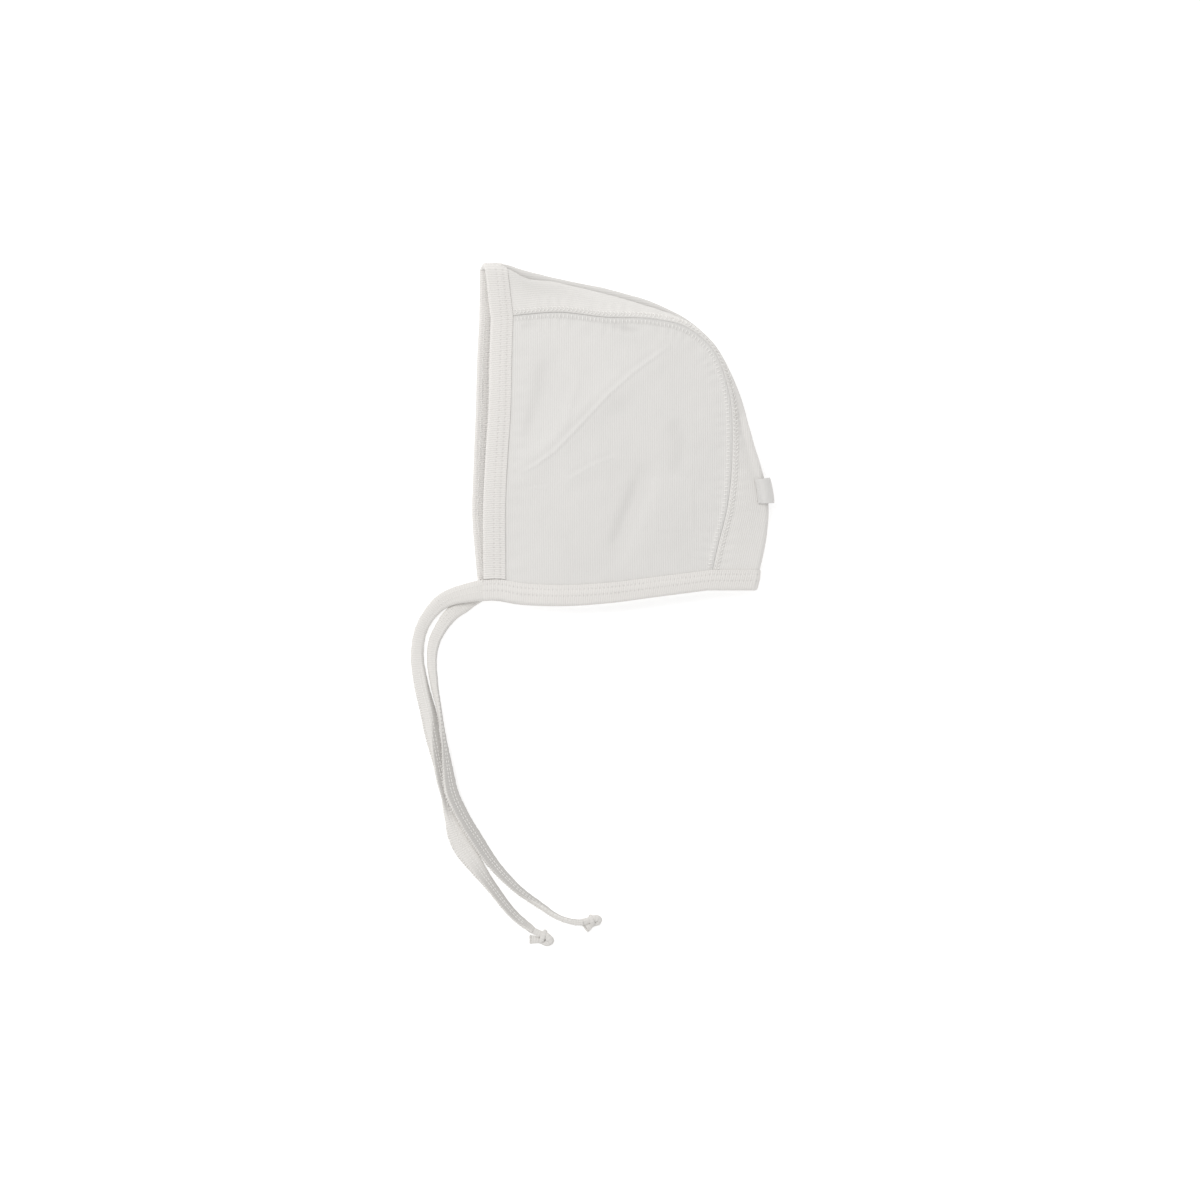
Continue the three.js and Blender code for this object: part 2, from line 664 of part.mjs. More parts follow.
// A knot begins just past its tie's end and goes on the same way.
function knot(name, route, lean, material) {
  const [before, end] = route.slice(-2).map((point) => new THREE.Vector2(point[0], point[1]));
  const way = end.clone().sub(before).normalize();
  way.rotateAround(new THREE.Vector2(), THREE.MathUtils.degToRad(lean));
  const side = new THREE.Vector2(-way.y, way.x);
  const rings = knotTable.map((row) => {
    const along = 2 * pieceGap + row.along * knotLength;
    const halfWide = (row.wide * knotWidth) / 2;
    const halfHigh = (row.high * knotHeight) / 2;
    const aside = row.aside * knotWidth;
    return sharesOf(knotSides).slice(0, -1).map((share) => {
      const angle = 2 * Math.PI * share;
      const sideways = aside + halfWide * Math.cos(angle);
      return new THREE.Vector3(
        end.x + way.x * along + side.x * sideways,
        end.y + way.y * along + side.y * sideways,
        halfHigh + halfHigh * Math.sin(angle),
      );
    });
  });
  const contour = sharesOf(knotSides).slice(0, -1).map((share) => new THREE.Vector2(
    Math.cos(2 * Math.PI * share),
    Math.sin(2 * Math.PI * share),
  ));
  return sweptSolid(name, rings, contour, material);
}

// The label, a woven tab round the back fold that stands a little off it
function backLabel() {
  const level = (labelPlace - 0.5) * bonnetHeight;
  const seamAt = (y) => {
    let low = bendPlace;
    let high = 1;
    for (let i = 0; i < searchSteps; i += 1) {
      const middle = (low + high) / 2;
      if (seamGuide.at("y", middle) > y) low = middle;
      else high = middle;
    }
    return low;
  };
  const foldLine = 0.5;
  const labelPoint = (across, t) => {
    const s = seamAt(level + labelWidth * (0.5 - across));
    const over = walk((share) => gussetPoint(s, mix(foldLine, 0, share)), labelReach) * foldLine;
    const under = walk((share) => gussetPoint(s, mix(foldLine, 1, share)), labelReach) * foldLine;
    const stand = leafInside + labelThick / 2 + labelStand * Math.sin(Math.PI * t) ** 2;
    return raised(gussetPlace(s, mix(foldLine - over, foldLine + under, t)), stand);
  };
  const places = sharesOf(labelCells).map((across) => sharesOf(4 * labelCells).map((t) => (
    { at: labelPoint(across, t), out: facing(labelPoint, across, t, 1) }
  )));
  return clothSlab("back_label", places, labelThick, knit("label_weave", 0xe3e0dd, 0.8));
}

// The bonnet
const tieKnit = knit("tie_knit", 0xdedcd8, 0.95);
const bonnet = new THREE.Group();
bonnet.name = "bonnet";
bonnet.add(
  leftSidePanel(),
  rightSidePanel(),
  crownGusset(),
  faceBand(),
  neckBand(),
  tie("left_tie", leftTieRoute, tieKnit),
  tie("right_tie", rightTieRoute, tieKnit.clone()),
  knot("left_tie_knot", leftTieRoute, -8, tieKnit.clone()),
  knot("right_tie_knot", rightTieRoute, 10, tieKnit.clone()),
  backLabel(),
);

export default bonnet;
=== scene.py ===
import math

import bpy
import numpy as np
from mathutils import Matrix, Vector
from mathutils.bvhtree import BVHTree


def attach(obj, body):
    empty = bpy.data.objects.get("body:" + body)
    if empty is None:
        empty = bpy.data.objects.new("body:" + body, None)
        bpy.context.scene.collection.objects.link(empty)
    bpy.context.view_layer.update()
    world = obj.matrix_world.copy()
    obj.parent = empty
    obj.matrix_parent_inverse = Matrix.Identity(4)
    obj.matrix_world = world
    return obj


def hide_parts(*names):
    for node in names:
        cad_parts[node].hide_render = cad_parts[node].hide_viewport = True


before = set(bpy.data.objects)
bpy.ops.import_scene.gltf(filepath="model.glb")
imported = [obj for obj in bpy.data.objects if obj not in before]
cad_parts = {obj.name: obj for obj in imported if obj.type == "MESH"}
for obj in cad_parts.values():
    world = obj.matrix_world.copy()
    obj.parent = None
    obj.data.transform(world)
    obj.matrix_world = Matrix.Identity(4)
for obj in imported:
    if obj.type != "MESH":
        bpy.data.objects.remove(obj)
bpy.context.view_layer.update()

bl_info = {
    "name": "Rib Knit Bonnet",
    "version": (1, 0, 0),
    "blender": (4, 5, 0),
    "location": "3D View > Sidebar > Bonnet",
    "description": "Dresses a laid baby bonnet in rib knit, bindings, seams, ties and a label",
    "category": "Object",
}

MM = 0.001

# The bonnet's sizes
BONNET_DEPTH = 148 * MM
BONNET_HEIGHT = 171.5 * MM
LAID_LOFT = 20 * MM
CLOTH_THICK = 1 * MM
PIECE_GAP = 0.3 * MM
FACE_BAND_WIDTH = 11.4 * MM
NECK_BAND_WIDTH = 10.7 * MM
GUSSET_HALF_WIDTH = 26.5 * MM
PANEL_DOME = 2.4 * MM
LAYER_GAP = 0.5 * MM
REST_GAP = 0.12 * MM
LOWER_TUCK = 3.5 * MM
CHANNEL_SLOPE = 7 * MM
LABEL_WIDTH = 12 * MM
LABEL_THICK = 0.6 * MM
LABEL_REACH = 7.5 * MM
LABEL_STAND = 2.2 * MM
LABEL_PLACE = 0.333

LEAF_INSIDE = CLOTH_THICK / 2 + PIECE_GAP
LEAF_OUTSIDE = LEAF_INSIDE + CLOTH_THICK
LYING_HEIGHT = CLOTH_THICK / 2
CHANNEL_HEIGHT = LEAF_OUTSIDE + REST_GAP
CORNER_HEIGHT = 3 * LEAF_OUTSIDE + LAYER_GAP
EDGE_INSET = CLOTH_THICK + PIECE_GAP
SHEET_HALF = CLOTH_THICK * 0.45
SEAM_GAP = 0.06 * MM

# How far the lowest points stay over the floor
FLOOR_CLEAR = 0.02 * MM
BAND_CLEAR = 0.05 * MM
KNOT_CLEAR = 0.12 * MM
FRINGE_CLEAR = 0.15 * MM

# Shares of a fold's height where it is round and where it is pleated, and how fast the
# cloth eases from one height to the next
ROUND_HIGH = (1 + math.sqrt(0.5)) / 2
PLEAT_HIGH = 0.74
PLEAT_LOW = 0.54
PLEAT_REACH = 0.5 * MM
FOLD_REACH = 0.8
SEAM_EASE = 0.42
LYING_EASE = 0.7

# The seam between side panel and gusset, from the face edge over the crown to the neck
SEAM_COLUMNS = ("across", "up", "turn", "near", "waist", "far", "seam", "fold")
SEAM_ROWS = (
    (0.059, 0.835, 93, 0.963, 1.0, 0.963, 0.425, 0.425),
    (0.137, 0.843, 92, 0.87, 0.86, 0.94, 0.475, 0.445),
    (0.185, 0.847, 91, 0.69, 0.63, 0.82, 0.52, 0.465),
    (0.282, 0.852, 90, 0.567, 0.46, 0.64, 0.6, 0.5),
    (0.446, 0.837, 89, 0.438, 0.32, 0.528, 0.75, 0.6),
    (0.609, 0.83, 82, 0.204, 0.1, 0.283, 0.86, 0.7),
    (0.708, 0.81, 60, 0.113, 0.02, 0.121, 0.9, 0.74),
    (0.798, 0.749, 34, 0.075, -0.02, 0.07, 0.9, 0.76),
    (0.855, 0.629, 13, 0.163, 0.085, 0.158, 0.88, 0.7),
    (0.87, 0.459, 3, 0.4, 0.427, 0.393, 0.84, 0.6),
    (0.855, 0.29, 0, 0.72, 0.766, 0.72, 0.76, 0.5),
    (0.822, 0.17, 0, 0.84, 0.88, 0.84, 0.66, 0.44),
    (0.79, 0.045, 0, 0.828, 0.866, 0.828, 0.55, 0.43),
)
BEND_ROW = 7

EDGE_COLUMNS = ("across", "up", "rise")
UPPER_FACE_ROWS = (
    (0.036, 0.015, CORNER_HEIGHT / LAID_LOFT), (0.034, 0.152, 0.42), (0.034, 0.292, 0.54),
    (0.042, 0.432, 0.6), (0.052, 0.574, 0.6), (0.055, 0.714, 0.54), (0.059, 0.835, 0.425),
)
NECK_ROWS = (
    (0.036, 0.015, CORNER_HEIGHT / LAID_LOFT), (0.077, 0.017, 0.33), (0.159, 0.006, 0.44),
    (0.282, 0.0, 0.54), (0.446, 0.007, 0.58), (0.61, 0.025, 0.58), (0.79, 0.045, 0.55),
)
LOWER_FACE_COLUMNS = ("across", "up")
LOWER_FACE_ROWS = (
    (0.022, 0.013), (0.006, 0.149), (-0.004, 0.265), (0.0, 0.397), (0.008, 0.572),
    (0.0125, 0.714), (0.02, 0.835),
)

# The broad swells and hollows of the upper panel: from, to, rise as a share of the loft,
# spread as a share of the depth
SWELL_ROWS = (
    (0.69, 0.77, 0.46, 0.61, 0.045, 0.045),
    (0.46, 0.61, 0.13, 0.37, 0.04, 0.045),
    (0.49, 0.43, 0.31, 0.36, 0.015, 0.03),
    (0.28, 0.72, 0.2, 0.48, -0.06, 0.045),
    (0.58, 0.37, 0.49, 0.16, -0.06, 0.04),
    (0.25, 0.82, 0.58, 0.75, -0.07, 0.04),
)

# The sharp creases, each along its own line: the points, how deep and how wide its valley
# is, and how high and how wide the ridge beside it, below and to the right
CREASES = (
    (((0.693, 0.771), (0.539, 0.674), (0.458, 0.611), (0.328, 0.492), (0.271, 0.443),
      (0.215, 0.408), (0.125, 0.366)), 0.25 * MM, 1.6 * MM, 0.4 * MM, 0.6 * MM),
    (((0.49, 0.436), (0.40, 0.404), (0.312, 0.359)), 0.14 * MM, 1.4 * MM, 0.2 * MM, 0.7 * MM),
    (((0.255, 0.344), (0.21, 0.341), (0.174, 0.335)), 0.12 * MM, 1.0 * MM, 0.15 * MM, 0.5 * MM),
    (((0.166, 0.309), (0.117, 0.286)), 0.12 * MM, 1.0 * MM, 0.15 * MM, 0.5 * MM),
    (((0.36, 0.674), (0.335, 0.6), (0.302, 0.499)), 0.15 * MM, 3.0 * MM, 0.25 * MM, 2.4 * MM),
    (((0.279, 0.723), (0.25, 0.6), (0.206, 0.464)), 0.35 * MM, 3.2 * MM, 0.1 * MM, 3.0 * MM),
    (((0.586, 0.373), (0.54, 0.27), (0.49, 0.156)), 0.4 * MM, 2.6 * MM, 0.12 * MM, 3.0 * MM),
    (((0.56, 0.772), (0.42, 0.812), (0.27, 0.825)), 1.0 * MM, 2.0 * MM, 0.1 * MM, 3.0 * MM),
    (((0.23, 0.80), (0.165, 0.785)), 0.5 * MM, 2.4 * MM, 0.1 * MM, 3.0 * MM),
    (((0.72, 0.56), (0.745, 0.46), (0.72, 0.36)), 0.4 * MM, 4.0 * MM, 0.1 * MM, 3.0 * MM),
)

# The share of a crease's length over which it fades in and out, and how many of its widths
# the valley lies beside its line
CREASE_FADE = 0.16
VALLEY_ASIDE = 1.6
# The crease depth at which the painted shade in its valley is full
DARKEST_DEPTH = 6 * MM

IMPRINT_BOX = ((0.603, 0.213), (0.748, 0.373))
IMPRINT_RISE = 0.16 * MM
IMPRINT_EDGE = 1.6 * MM

# The ties' routes in metres, with the height of the middle of the tie
LEFT_TIE_ROUTE = [
    (-0.0694, -0.0779, 0.006), (-0.0756, -0.0786, 0.0057), (-0.0813, -0.0803, 0.0046),
    (-0.0869, -0.0828, 0.0032), (-0.0925, -0.087, 0.0021), (-0.0974, -0.0929, 0.0016),
    (-0.1003, -0.0986, 0.0014), (-0.1017, -0.1049, 0.00135), (-0.1019, -0.1119, 0.00135),
    (-0.1011, -0.1189, 0.00135), (-0.0999, -0.1259, 0.00135), (-0.0983, -0.1329, 0.00135),
    (-0.0968, -0.14, 0.00135), (-0.0949, -0.1505, 0.00135), (-0.0928, -0.1598, 0.00135),
    (-0.0904, -0.1689, 0.00135), (-0.0874, -0.1808, 0.00135), (-0.0854, -0.1893, 0.00135),
    (-0.0826, -0.1977, 0.00135), (-0.079, -0.2061, 0.00135), (-0.0736, -0.2145, 0.00135),
    (-0.0666, -0.224, 0.00135), (-0.0589, -0.234, 0.00135), (-0.0512, -0.2423, 0.00135),
    (-0.0443, -0.2478, 0.00135),
]
RIGHT_TIE_ROUTE = [
    (-0.0727, -0.0793, 0.0019), (-0.0758, -0.0816, 0.0017), (-0.0794, -0.085, 0.00145),
    (-0.084, -0.0886, 0.00135), (-0.0888, -0.0939, 0.00135), (-0.0922, -0.1013, 0.00135),
    (-0.0939, -0.1091, 0.00135), (-0.0941, -0.1161, 0.00135), (-0.0931, -0.1245, 0.00135),
    (-0.0915, -0.1329, 0.002), (-0.09, -0.1435, 0.0031), (-0.0886, -0.1526, 0.0037),
    (-0.0867, -0.1668, 0.0041), (-0.0842, -0.1794, 0.0042), (-0.0793, -0.1906, 0.0036),
    (-0.0725, -0.2018, 0.0024), (-0.0655, -0.2124, 0.0015), (-0.0584, -0.2208, 0.00135),
    (-0.0503, -0.2285, 0.00135), (-0.0405, -0.2355, 0.00135), (-0.0315, -0.2409, 0.00135),
    (-0.023, -0.2434, 0.00135), (-0.0192, -0.2436, 0.00135),
]

# How each tie lies along its length: width and thickness, how far its middle is aside,
# where its ridge lies from -1 on the right of the way to 1 on the left, and how high it is
TIE_COLUMNS = ("share", "width", "thick", "aside", "ridge", "high")
LEFT_TIE_ROWS = (
    (0.0, 10.9, 3.8, 0.0, 0.0, 0.05), (0.04, 9.6, 3.2, 0.2, 0.0, 0.1),
    (0.08, 8.5, 2.7, -0.4, 0.0, 0.2), (0.12, 7.5, 2.4, -0.7, 0.0, 0.3),
    (0.16, 6.6, 2.1, -0.5, 0.2, 0.4), (0.22, 6.3, 1.9, 0.0, 0.4, 0.5),
    (0.3, 6.9, 1.7, 0.0, 0.72, 1.1), (0.36, 7.6, 1.7, 0.2, 0.5, 1.7),
    (0.42, 8.2, 1.6, 0.5, 0.15, 2.0), (0.48, 6.8, 1.6, 0.4, -0.3, 2.1),
    (0.52, 5.4, 1.7, 0.1, -0.62, 2.0), (0.57, 5.0, 1.7, -0.4, -0.84, 1.7),
    (0.62, 4.8, 1.7, -0.5, -0.84, 1.2), (0.66, 5.8, 1.6, -0.7, -0.4, 0.7),
    (0.7, 8.8, 1.5, -0.7, -0.2, 0.4), (0.74, 9.7, 1.4, -0.3, -0.3, 0.5),
    (0.79, 8.2, 1.5, 0.1, -0.6, 0.8), (0.84, 6.0, 1.6, 0.1, -0.74, 1.2),
    (0.9, 5.0, 1.6, 0.0, -0.74, 1.4), (0.96, 4.5, 1.7, 0.0, -0.7, 1.2),
    (1.0, 3.6, 1.9, 0.0, -0.3, 0.9),
)
RIGHT_TIE_ROWS = (
    (0.0, 10.7, 3.6, 0.0, 0.0, 0.05), (0.06, 7.8, 2.6, 0.2, 0.3, 0.3),
    (0.12, 6.5, 2.0, 0.2, 0.7, 0.9), (0.16, 5.9, 1.8, -0.5, 0.72, 1.1),
    (0.2, 5.1, 1.8, -0.6, 0.72, 1.2), (0.26, 4.1, 1.8, -0.4, 0.6, 1.2),
    (0.32, 2.7, 1.9, -0.2, 0.2, 1.2), (0.37, 2.3, 2.0, 0.0, -0.3, 1.2),
    (0.41, 3.0, 1.9, 0.0, -0.6, 1.3), (0.46, 4.8, 1.7, -0.1, -0.72, 1.5),
    (0.52, 6.6, 1.6, -0.3, -0.74, 1.6), (0.6, 6.6, 1.5, -0.1, -0.74, 1.6),
    (0.68, 6.6, 1.5, -0.1, -0.74, 1.6), (0.76, 5.3, 1.5, -0.1, -0.74, 1.6),
    (0.82, 4.3, 1.6, 0.0, -0.7, 1.5), (0.88, 3.5, 1.6, 0.1, 0.0, 1.3),
    (0.94, 2.8, 1.7, -0.2, 0.4, 1.1), (1.0, 3.2, 1.9, -0.1, 0.2, 0.9),
)

# A knot's strands, in millimetres from the tie's end: along, aside and up, with width and
# thickness. The first goes in, turns back in a round end and comes out beside itself as
# the cut end. The second wraps it.
KNOT_COLUMNS = ("along", "aside", "up", "wide", "thick")
KNOT_ROWS = (
    (-0.8, 0.0, 1.4, 3.4, 2.0), (1.8, 0.2, 1.7, 3.2, 2.1), (4.4, 0.6, 2.1, 3.2, 2.2),
    (6.8, 0.8, 2.3, 3.7, 2.6), (8.2, 0.0, 2.2, 4.0, 2.8), (7.5, -1.3, 1.6, 3.6, 2.4),
    (5.8, -1.8, 1.2, 3.1, 1.9), (4.2, -2.1, 1.2, 3.2, 1.8), (2.7, -2.8, 1.2, 3.8, 1.6),
    (1.5, -3.4, 1.1, 4.2, 1.4),
)
KNOT_WRAP_ROWS = (
    (5.6, -2.7, 0.8, 2.0, 1.0), (5.3, -1.9, 2.3, 2.3, 1.2), (5.0, -0.5, 3.3, 2.5, 1.2),
    (4.7, 1.2, 3.1, 2.5, 1.2), (4.5, 2.2, 1.9, 2.2, 1.1), (4.4, 2.1, 0.8, 1.8, 1.0),
)

# The sewing
SEAM_PITCH = 1.95 * MM
SEAM_ROW_OFF = 1.9 * MM
NEEDLE_PITCH = 1.95 * MM

# One repeat of the seam's threads: from and to, as shares of the pitch along the seam and
# as distances from the joint, towards the gusset
SEAM_STITCHES = (
    (0.0, 0.8 * MM, 0.6, 2.0 * MM), (0.0, 3.2 * MM, 0.6, 2.0 * MM),
    (0.3, -0.8 * MM, 0.42, -2.7 * MM),
)
NEEDLE_ROWS = (2.4 * MM, 5.6 * MM)
INNER_ROWS = (3.5 * MM, 2.6 * MM)
THREAD_RADIUS = 0.17 * MM
OVERLOCK_PITCH = 1.3 * MM


# The settings that a user would change


class BonnetKnit(bpy.types.PropertyGroup):
    """The knit's scale and relief"""

    rib_pitch: bpy.props.FloatProperty(
        name="Rib Pitch", description="Distance from rib to rib", default=1.1 * MM,
        unit="LENGTH", precision=5,
    )
    loop_pitch: bpy.props.FloatProperty(
        name="Loop Pitch", description="Distance from loop to loop along a rib",
        default=0.75 * MM, unit="LENGTH", precision=5,
    )
    rib_depth: bpy.props.FloatProperty(
        name="Rib Depth", description="Height of a rib over its groove", default=0.16 * MM,
        unit="LENGTH", precision=5,
    )


class BonnetColours(bpy.types.PropertyGroup):
    """The colours of cloth, thread and floor"""

    panel: bpy.props.FloatVectorProperty(
        name="Panels", description="Colour of the side panels", subtype="COLOR",
        default=(0.76, 0.745, 0.723),
    )
    gusset: bpy.props.FloatVectorProperty(
        name="Gusset", description="Colour of the crown gusset", subtype="COLOR",
        default=(0.795, 0.776, 0.75),
    )
    band: bpy.props.FloatVectorProperty(
        name="Bindings", description="Colour of the bindings", subtype="COLOR",
        default=(0.8, 0.776, 0.748),
    )
    tie: bpy.props.FloatVectorProperty(
        name="Ties", description="Colour of the ties", subtype="COLOR",
        default=(0.78, 0.758, 0.728),
    )
    thread: bpy.props.FloatVectorProperty(
        name="Thread", description="Colour of the sewing thread", subtype="COLOR",
        default=(0.86, 0.845, 0.82),
    )
    label: bpy.props.FloatVectorProperty(
        name="Label", description="Colour of the woven label", subtype="COLOR",
        default=(0.77, 0.755, 0.735),
    )
    floor: bpy.props.FloatVectorProperty(
        name="Floor", description="Colour of the floor", subtype="COLOR",
        default=(0.7, 0.7, 0.7),
    )


class BonnetStudio(bpy.types.PropertyGroup):
    """The light"""

    sky: bpy.props.FloatProperty(
        name="Sky", description="Strength of the even light from all round", default=0.75, min=0.0,
    )
    key: bpy.props.FloatProperty(
        name="Key", description="Power of the soft light from the upper left", default=120.0,
        min=0.0, unit="POWER",
    )


# Interpolation


def mix(low, high, share):
    return low + (high - low) * share


def smooth_share(share):
    t = np.clip(share, 0, 1)
    return t * t * (3 - 2 * t)


def hill(distance, spread):
    return np.exp(-((distance / spread) ** 2))


def unit(vectors):
    return vectors / np.maximum(np.linalg.norm(vectors, axis=-1, keepdims=True), 1e-12)


def stacked(*columns):
    return np.stack(np.broadcast_arrays(*columns), axis=-1)


def smooth_at(places, values, t):
    """Smooth values at t, through values given at rising places"""
    places = np.asarray(places, float)
    values = np.asarray(values, float)
    t = np.asarray(t, float)
    widths = np.diff(places)
    steps = np.diff(values) / widths
    slopes = np.concatenate([steps[:1], np.zeros(len(steps) - 1), steps[-1:]])
    slopes[1:-1] = (steps[:-1] * widths[1:] + steps[1:] * widths[:-1]) / (widths[1:] + widths[:-1])
    k = np.clip(np.searchsorted(places, t) - 1, 0, len(places) - 2)
    u = (t - places[k]) / widths[k]
    rise = values[k + 1] - values[k]
    start = slopes[k] * widths[k]
    end = slopes[k + 1] * widths[k]
    return values[k] + u * (start + u * (3 * rise - 2 * start - end + u * (start + end - 2 * rise)))


class Guide:
    """A table's columns, smooth over the length of the line that its rows follow"""

    def __init__(self, columns, rows):
        self.values = dict(zip(columns, np.array(rows, float).T))
        self.values["x"] = (self.values["across"] - 0.5) * BONNET_DEPTH
        self.values["y"] = (self.values["up"] - 0.5) * BONNET_HEIGHT
        steps = np.hypot(np.diff(self.values["x"]), np.diff(self.values["y"]))
        places = np.concatenate([[0], np.cumsum(steps)])
        self.length = places[-1]
        self.shares = places / self.length

    def at(self, name, t):
        return smooth_at(self.shares, self.values[name], t)


seam = Guide(SEAM_COLUMNS, SEAM_ROWS)
upper_face = Guide(EDGE_COLUMNS, UPPER_FACE_ROWS)
lower_face = Guide(LOWER_FACE_COLUMNS, LOWER_FACE_ROWS)
neck = Guide(EDGE_COLUMNS, NECK_ROWS)

BEND = (seam.shares[BEND_ROW - 1] + seam.shares[BEND_ROW]) / 2
CROWN_RUN = seam.length * BEND
BACK_RUN = seam.length - CROWN_RUN


# The cloth's surfaces. s runs along the seam, v across the gusset, p from the face to the
# seam and q from the neck to the seam.


def channel_share(distance, band_width):
    return 1 - smooth_share((distance - band_width) / CHANNEL_SLOPE)


def lower_height(face_distance, neck_distance):
    by_face = 1 - channel_share(face_distance, FACE_BAND_WIDTH)
    by_neck = 1 - channel_share(neck_distance, NECK_BAND_WIDTH)
    return mix(CHANNEL_HEIGHT, LYING_HEIGHT, by_face * by_neck)


def lower_seam_height(s):
    return lower_height(s * seam.length, (1 - s) * seam.length)


def seam_point(s, outward=0.0):
    turn = np.radians(seam.at("turn", s))
    x = seam.at("x", s) + outward * np.cos(turn)
    y = seam.at("y", s) + outward * np.sin(turn)
    return stacked(x, y, seam.at("seam", s) * LAID_LOFT)


def layer_slide(s):
    """How far forward the lower layer lies"""
    fade = 1 - smooth_share(s / BEND)
    return fade * (lower_face.values["x"][-1] - upper_face.values["x"][-1])


def lower_seam_offset(s):
    return -LOWER_TUCK * np.sin(np.pi * s) ** 2


def lower_seam_point(s, outward=0.0):
    point = seam_point(s, lower_seam_offset(s) + outward)
    point[..., 0] += layer_slide(s)
    point[..., 2] = lower_seam_height(s)
    return point


def section_at(rows, v):
    """Smooth values at share v of evenly spaced rows"""
    last = len(rows) - 1
    shape = np.broadcast_shapes(*(np.shape(row) for row in rows), np.shape(v))
    table = np.stack([np.broadcast_to(row, shape) for row in rows])
    slopes = np.concatenate([
        table[1:2] - table[:1], (table[2:] - table[:-2]) / 2, table[-1:] - table[-2:-1],
    ])
    place = np.broadcast_to(np.clip(v, 0, 1), shape) * last
    k = np.minimum(place.astype(int), last - 1)
    u = place - k

    def pick(values, index):
        return np.take_along_axis(values, index[None], axis=0)[0]

    low = pick(table, k)
    rise = pick(table, k + 1) - low
    start = pick(slopes, k)
    end = pick(slopes, k + 1)
    return low + u * (start + u * (3 * rise - 2 * start - end + u * (start + end - 2 * rise)))


def pleat_share(s):
    """How far the gusset's crown is folded in on itself"""
    folds = (seam.at("near", s) + seam.at("far", s)) / 2 - seam.at("waist", s)
    return smooth_share(folds * GUSSET_HALF_WIDTH / CLOTH_THICK)


def gusset_point(s, v, inset=0.0):
    near = seam.at("near", s) * GUSSET_HALF_WIDTH
    waist = seam.at("waist", s) * GUSSET_HALF_WIDTH
    far = seam.at("far", s) * GUSSET_HALF_WIDTH
    seam_top = seam.at("seam", s) * LAID_LOFT
    fold_top = seam.at("fold", s) * LAID_LOFT
    fold_height = fold_top - CHANNEL_HEIGHT
    pleat = pleat_share(s)
    near_share = mix(ROUND_HIGH, PLEAT_HIGH, pleat)
    far_share = mix(1 - ROUND_HIGH, PLEAT_LOW, pleat)
    waist_share = (near_share + far_share) / 2
    far = far + PLEAT_REACH * pleat

    def round_of(width):
        return math.sqrt(0.5) * np.minimum(fold_height / 2, FOLD_REACH * np.abs(width))

    near_top = near - round_of(near)
    far_low = far - round_of(far)
    seam_offset = lower_seam_offset(s)
    seam_low = lower_seam_height(s)
    outs = (inset + 0 * near, near_top / 2, near_top, near, waist, far, far_low,
            (seam_offset + far_low) / 2, seam_offset + inset)
    highs = (
        seam_top, mix(seam_top, fold_top, SEAM_EASE), fold_top,
        CHANNEL_HEIGHT + near_share * fold_height, CHANNEL_HEIGHT + waist_share * fold_height,
        CHANNEL_HEIGHT + far_share * fold_height, CHANNEL_HEIGHT + 0 * near,
        mix(CHANNEL_HEIGHT, seam_low, LYING_EASE), seam_low,
    )
    point = seam_point(s, section_at(outs, v))
    point[..., 0] += layer_slide(s) * v
    point[..., 2] = section_at(highs, v)
    return point


def guide_point(edge, share):
    return stacked(edge.at("x", share), edge.at("y", share), edge.at("rise", share) * LAID_LOFT)


def lower_face_point(q):
    return stacked(lower_face.at("x", q), lower_face.at("y", q), CHANNEL_HEIGHT)


def lower_neck_point(p):
    fade = (1 - p) ** 2
    slide_x = lower_face.values["x"][0] - neck.values["x"][0]
    slide_y = lower_face.values["y"][0] - neck.values["y"][0]
    return stacked(neck.at("x", p) + slide_x * fade, neck.at("y", p) + slide_y * fade, CHANNEL_HEIGHT)


def edge_patch(face, neck_line, seam_line, p, q):
    """A patch that meets its four edges"""
    p = np.asarray(p, float)[..., None]
    q = np.asarray(q, float)[..., None]
    crown = seam_line(BEND * p[..., 0])
    back = seam_line(1 - (1 - BEND) * q[..., 0])
    one = np.ones(1)
    zero = np.zeros(1)
    corner = [face(zero), neck_line(one), face(one), seam_line(BEND * one)]
    point = neck_line(p[..., 0]) * (1 - q) + crown * q + face(q[..., 0]) * (1 - p) + back * p
    point = point - corner[0] * (1 - p) * (1 - q) - corner[1] * p * (1 - q)
    return point - corner[2] * (1 - p) * q - corner[3] * p * q


def along_line(x, y, points):
    """Distance to a line, positive on its left, and the share of the way along it"""
    places = np.array([((a - 0.5) * BONNET_DEPTH, (b - 0.5) * BONNET_HEIGHT) for a, b in points])
    steps = np.linalg.norm(np.diff(places, axis=0), axis=1)
    starts = np.concatenate([[0], np.cumsum(steps)])
    best = np.full(np.shape(x), np.inf)
    signed = np.zeros(np.shape(x))
    share = np.zeros(np.shape(x))
    for i, step in enumerate(steps):
        way = (places[i + 1] - places[i]) / step
        dx = x - places[i][0]
        dy = y - places[i][1]
        along = np.clip(dx * way[0] + dy * way[1], 0, step)
        away = np.hypot(dx - way[0] * along, dy - way[1] * along)
        side = np.where(way[0] * dy - way[1] * dx >= 0, 1.0, -1.0)
        closer = away < best
        best = np.where(closer, away, best)
        signed = np.where(closer, side * away, signed)
        share = np.where(closer, (starts[i] + along) / starts[-1], share)
    return signed, share


def swell_height(x, y):
    height = 0
    for from_x, from_y, to_x, to_y, rise, spread in SWELL_ROWS:
        away, _ = along_line(x, y, ((from_x, from_y), (to_x, to_y)))
        height = height + rise * LAID_LOFT * hill(away, spread * BONNET_DEPTH)
    return height


def crease_parts(x, y):
    """Each crease's sizes, with the distance to its line, its valley and its fading ends"""
    for points, depth, width, ridge, ridge_width in CREASES:
        away, share = along_line(x, y, points)
        ends = smooth_share(share / CREASE_FADE) * smooth_share((1 - share) / CREASE_FADE)
        yield depth, ridge, ridge_width, away, hill(away + VALLEY_ASIDE * width, width), ends


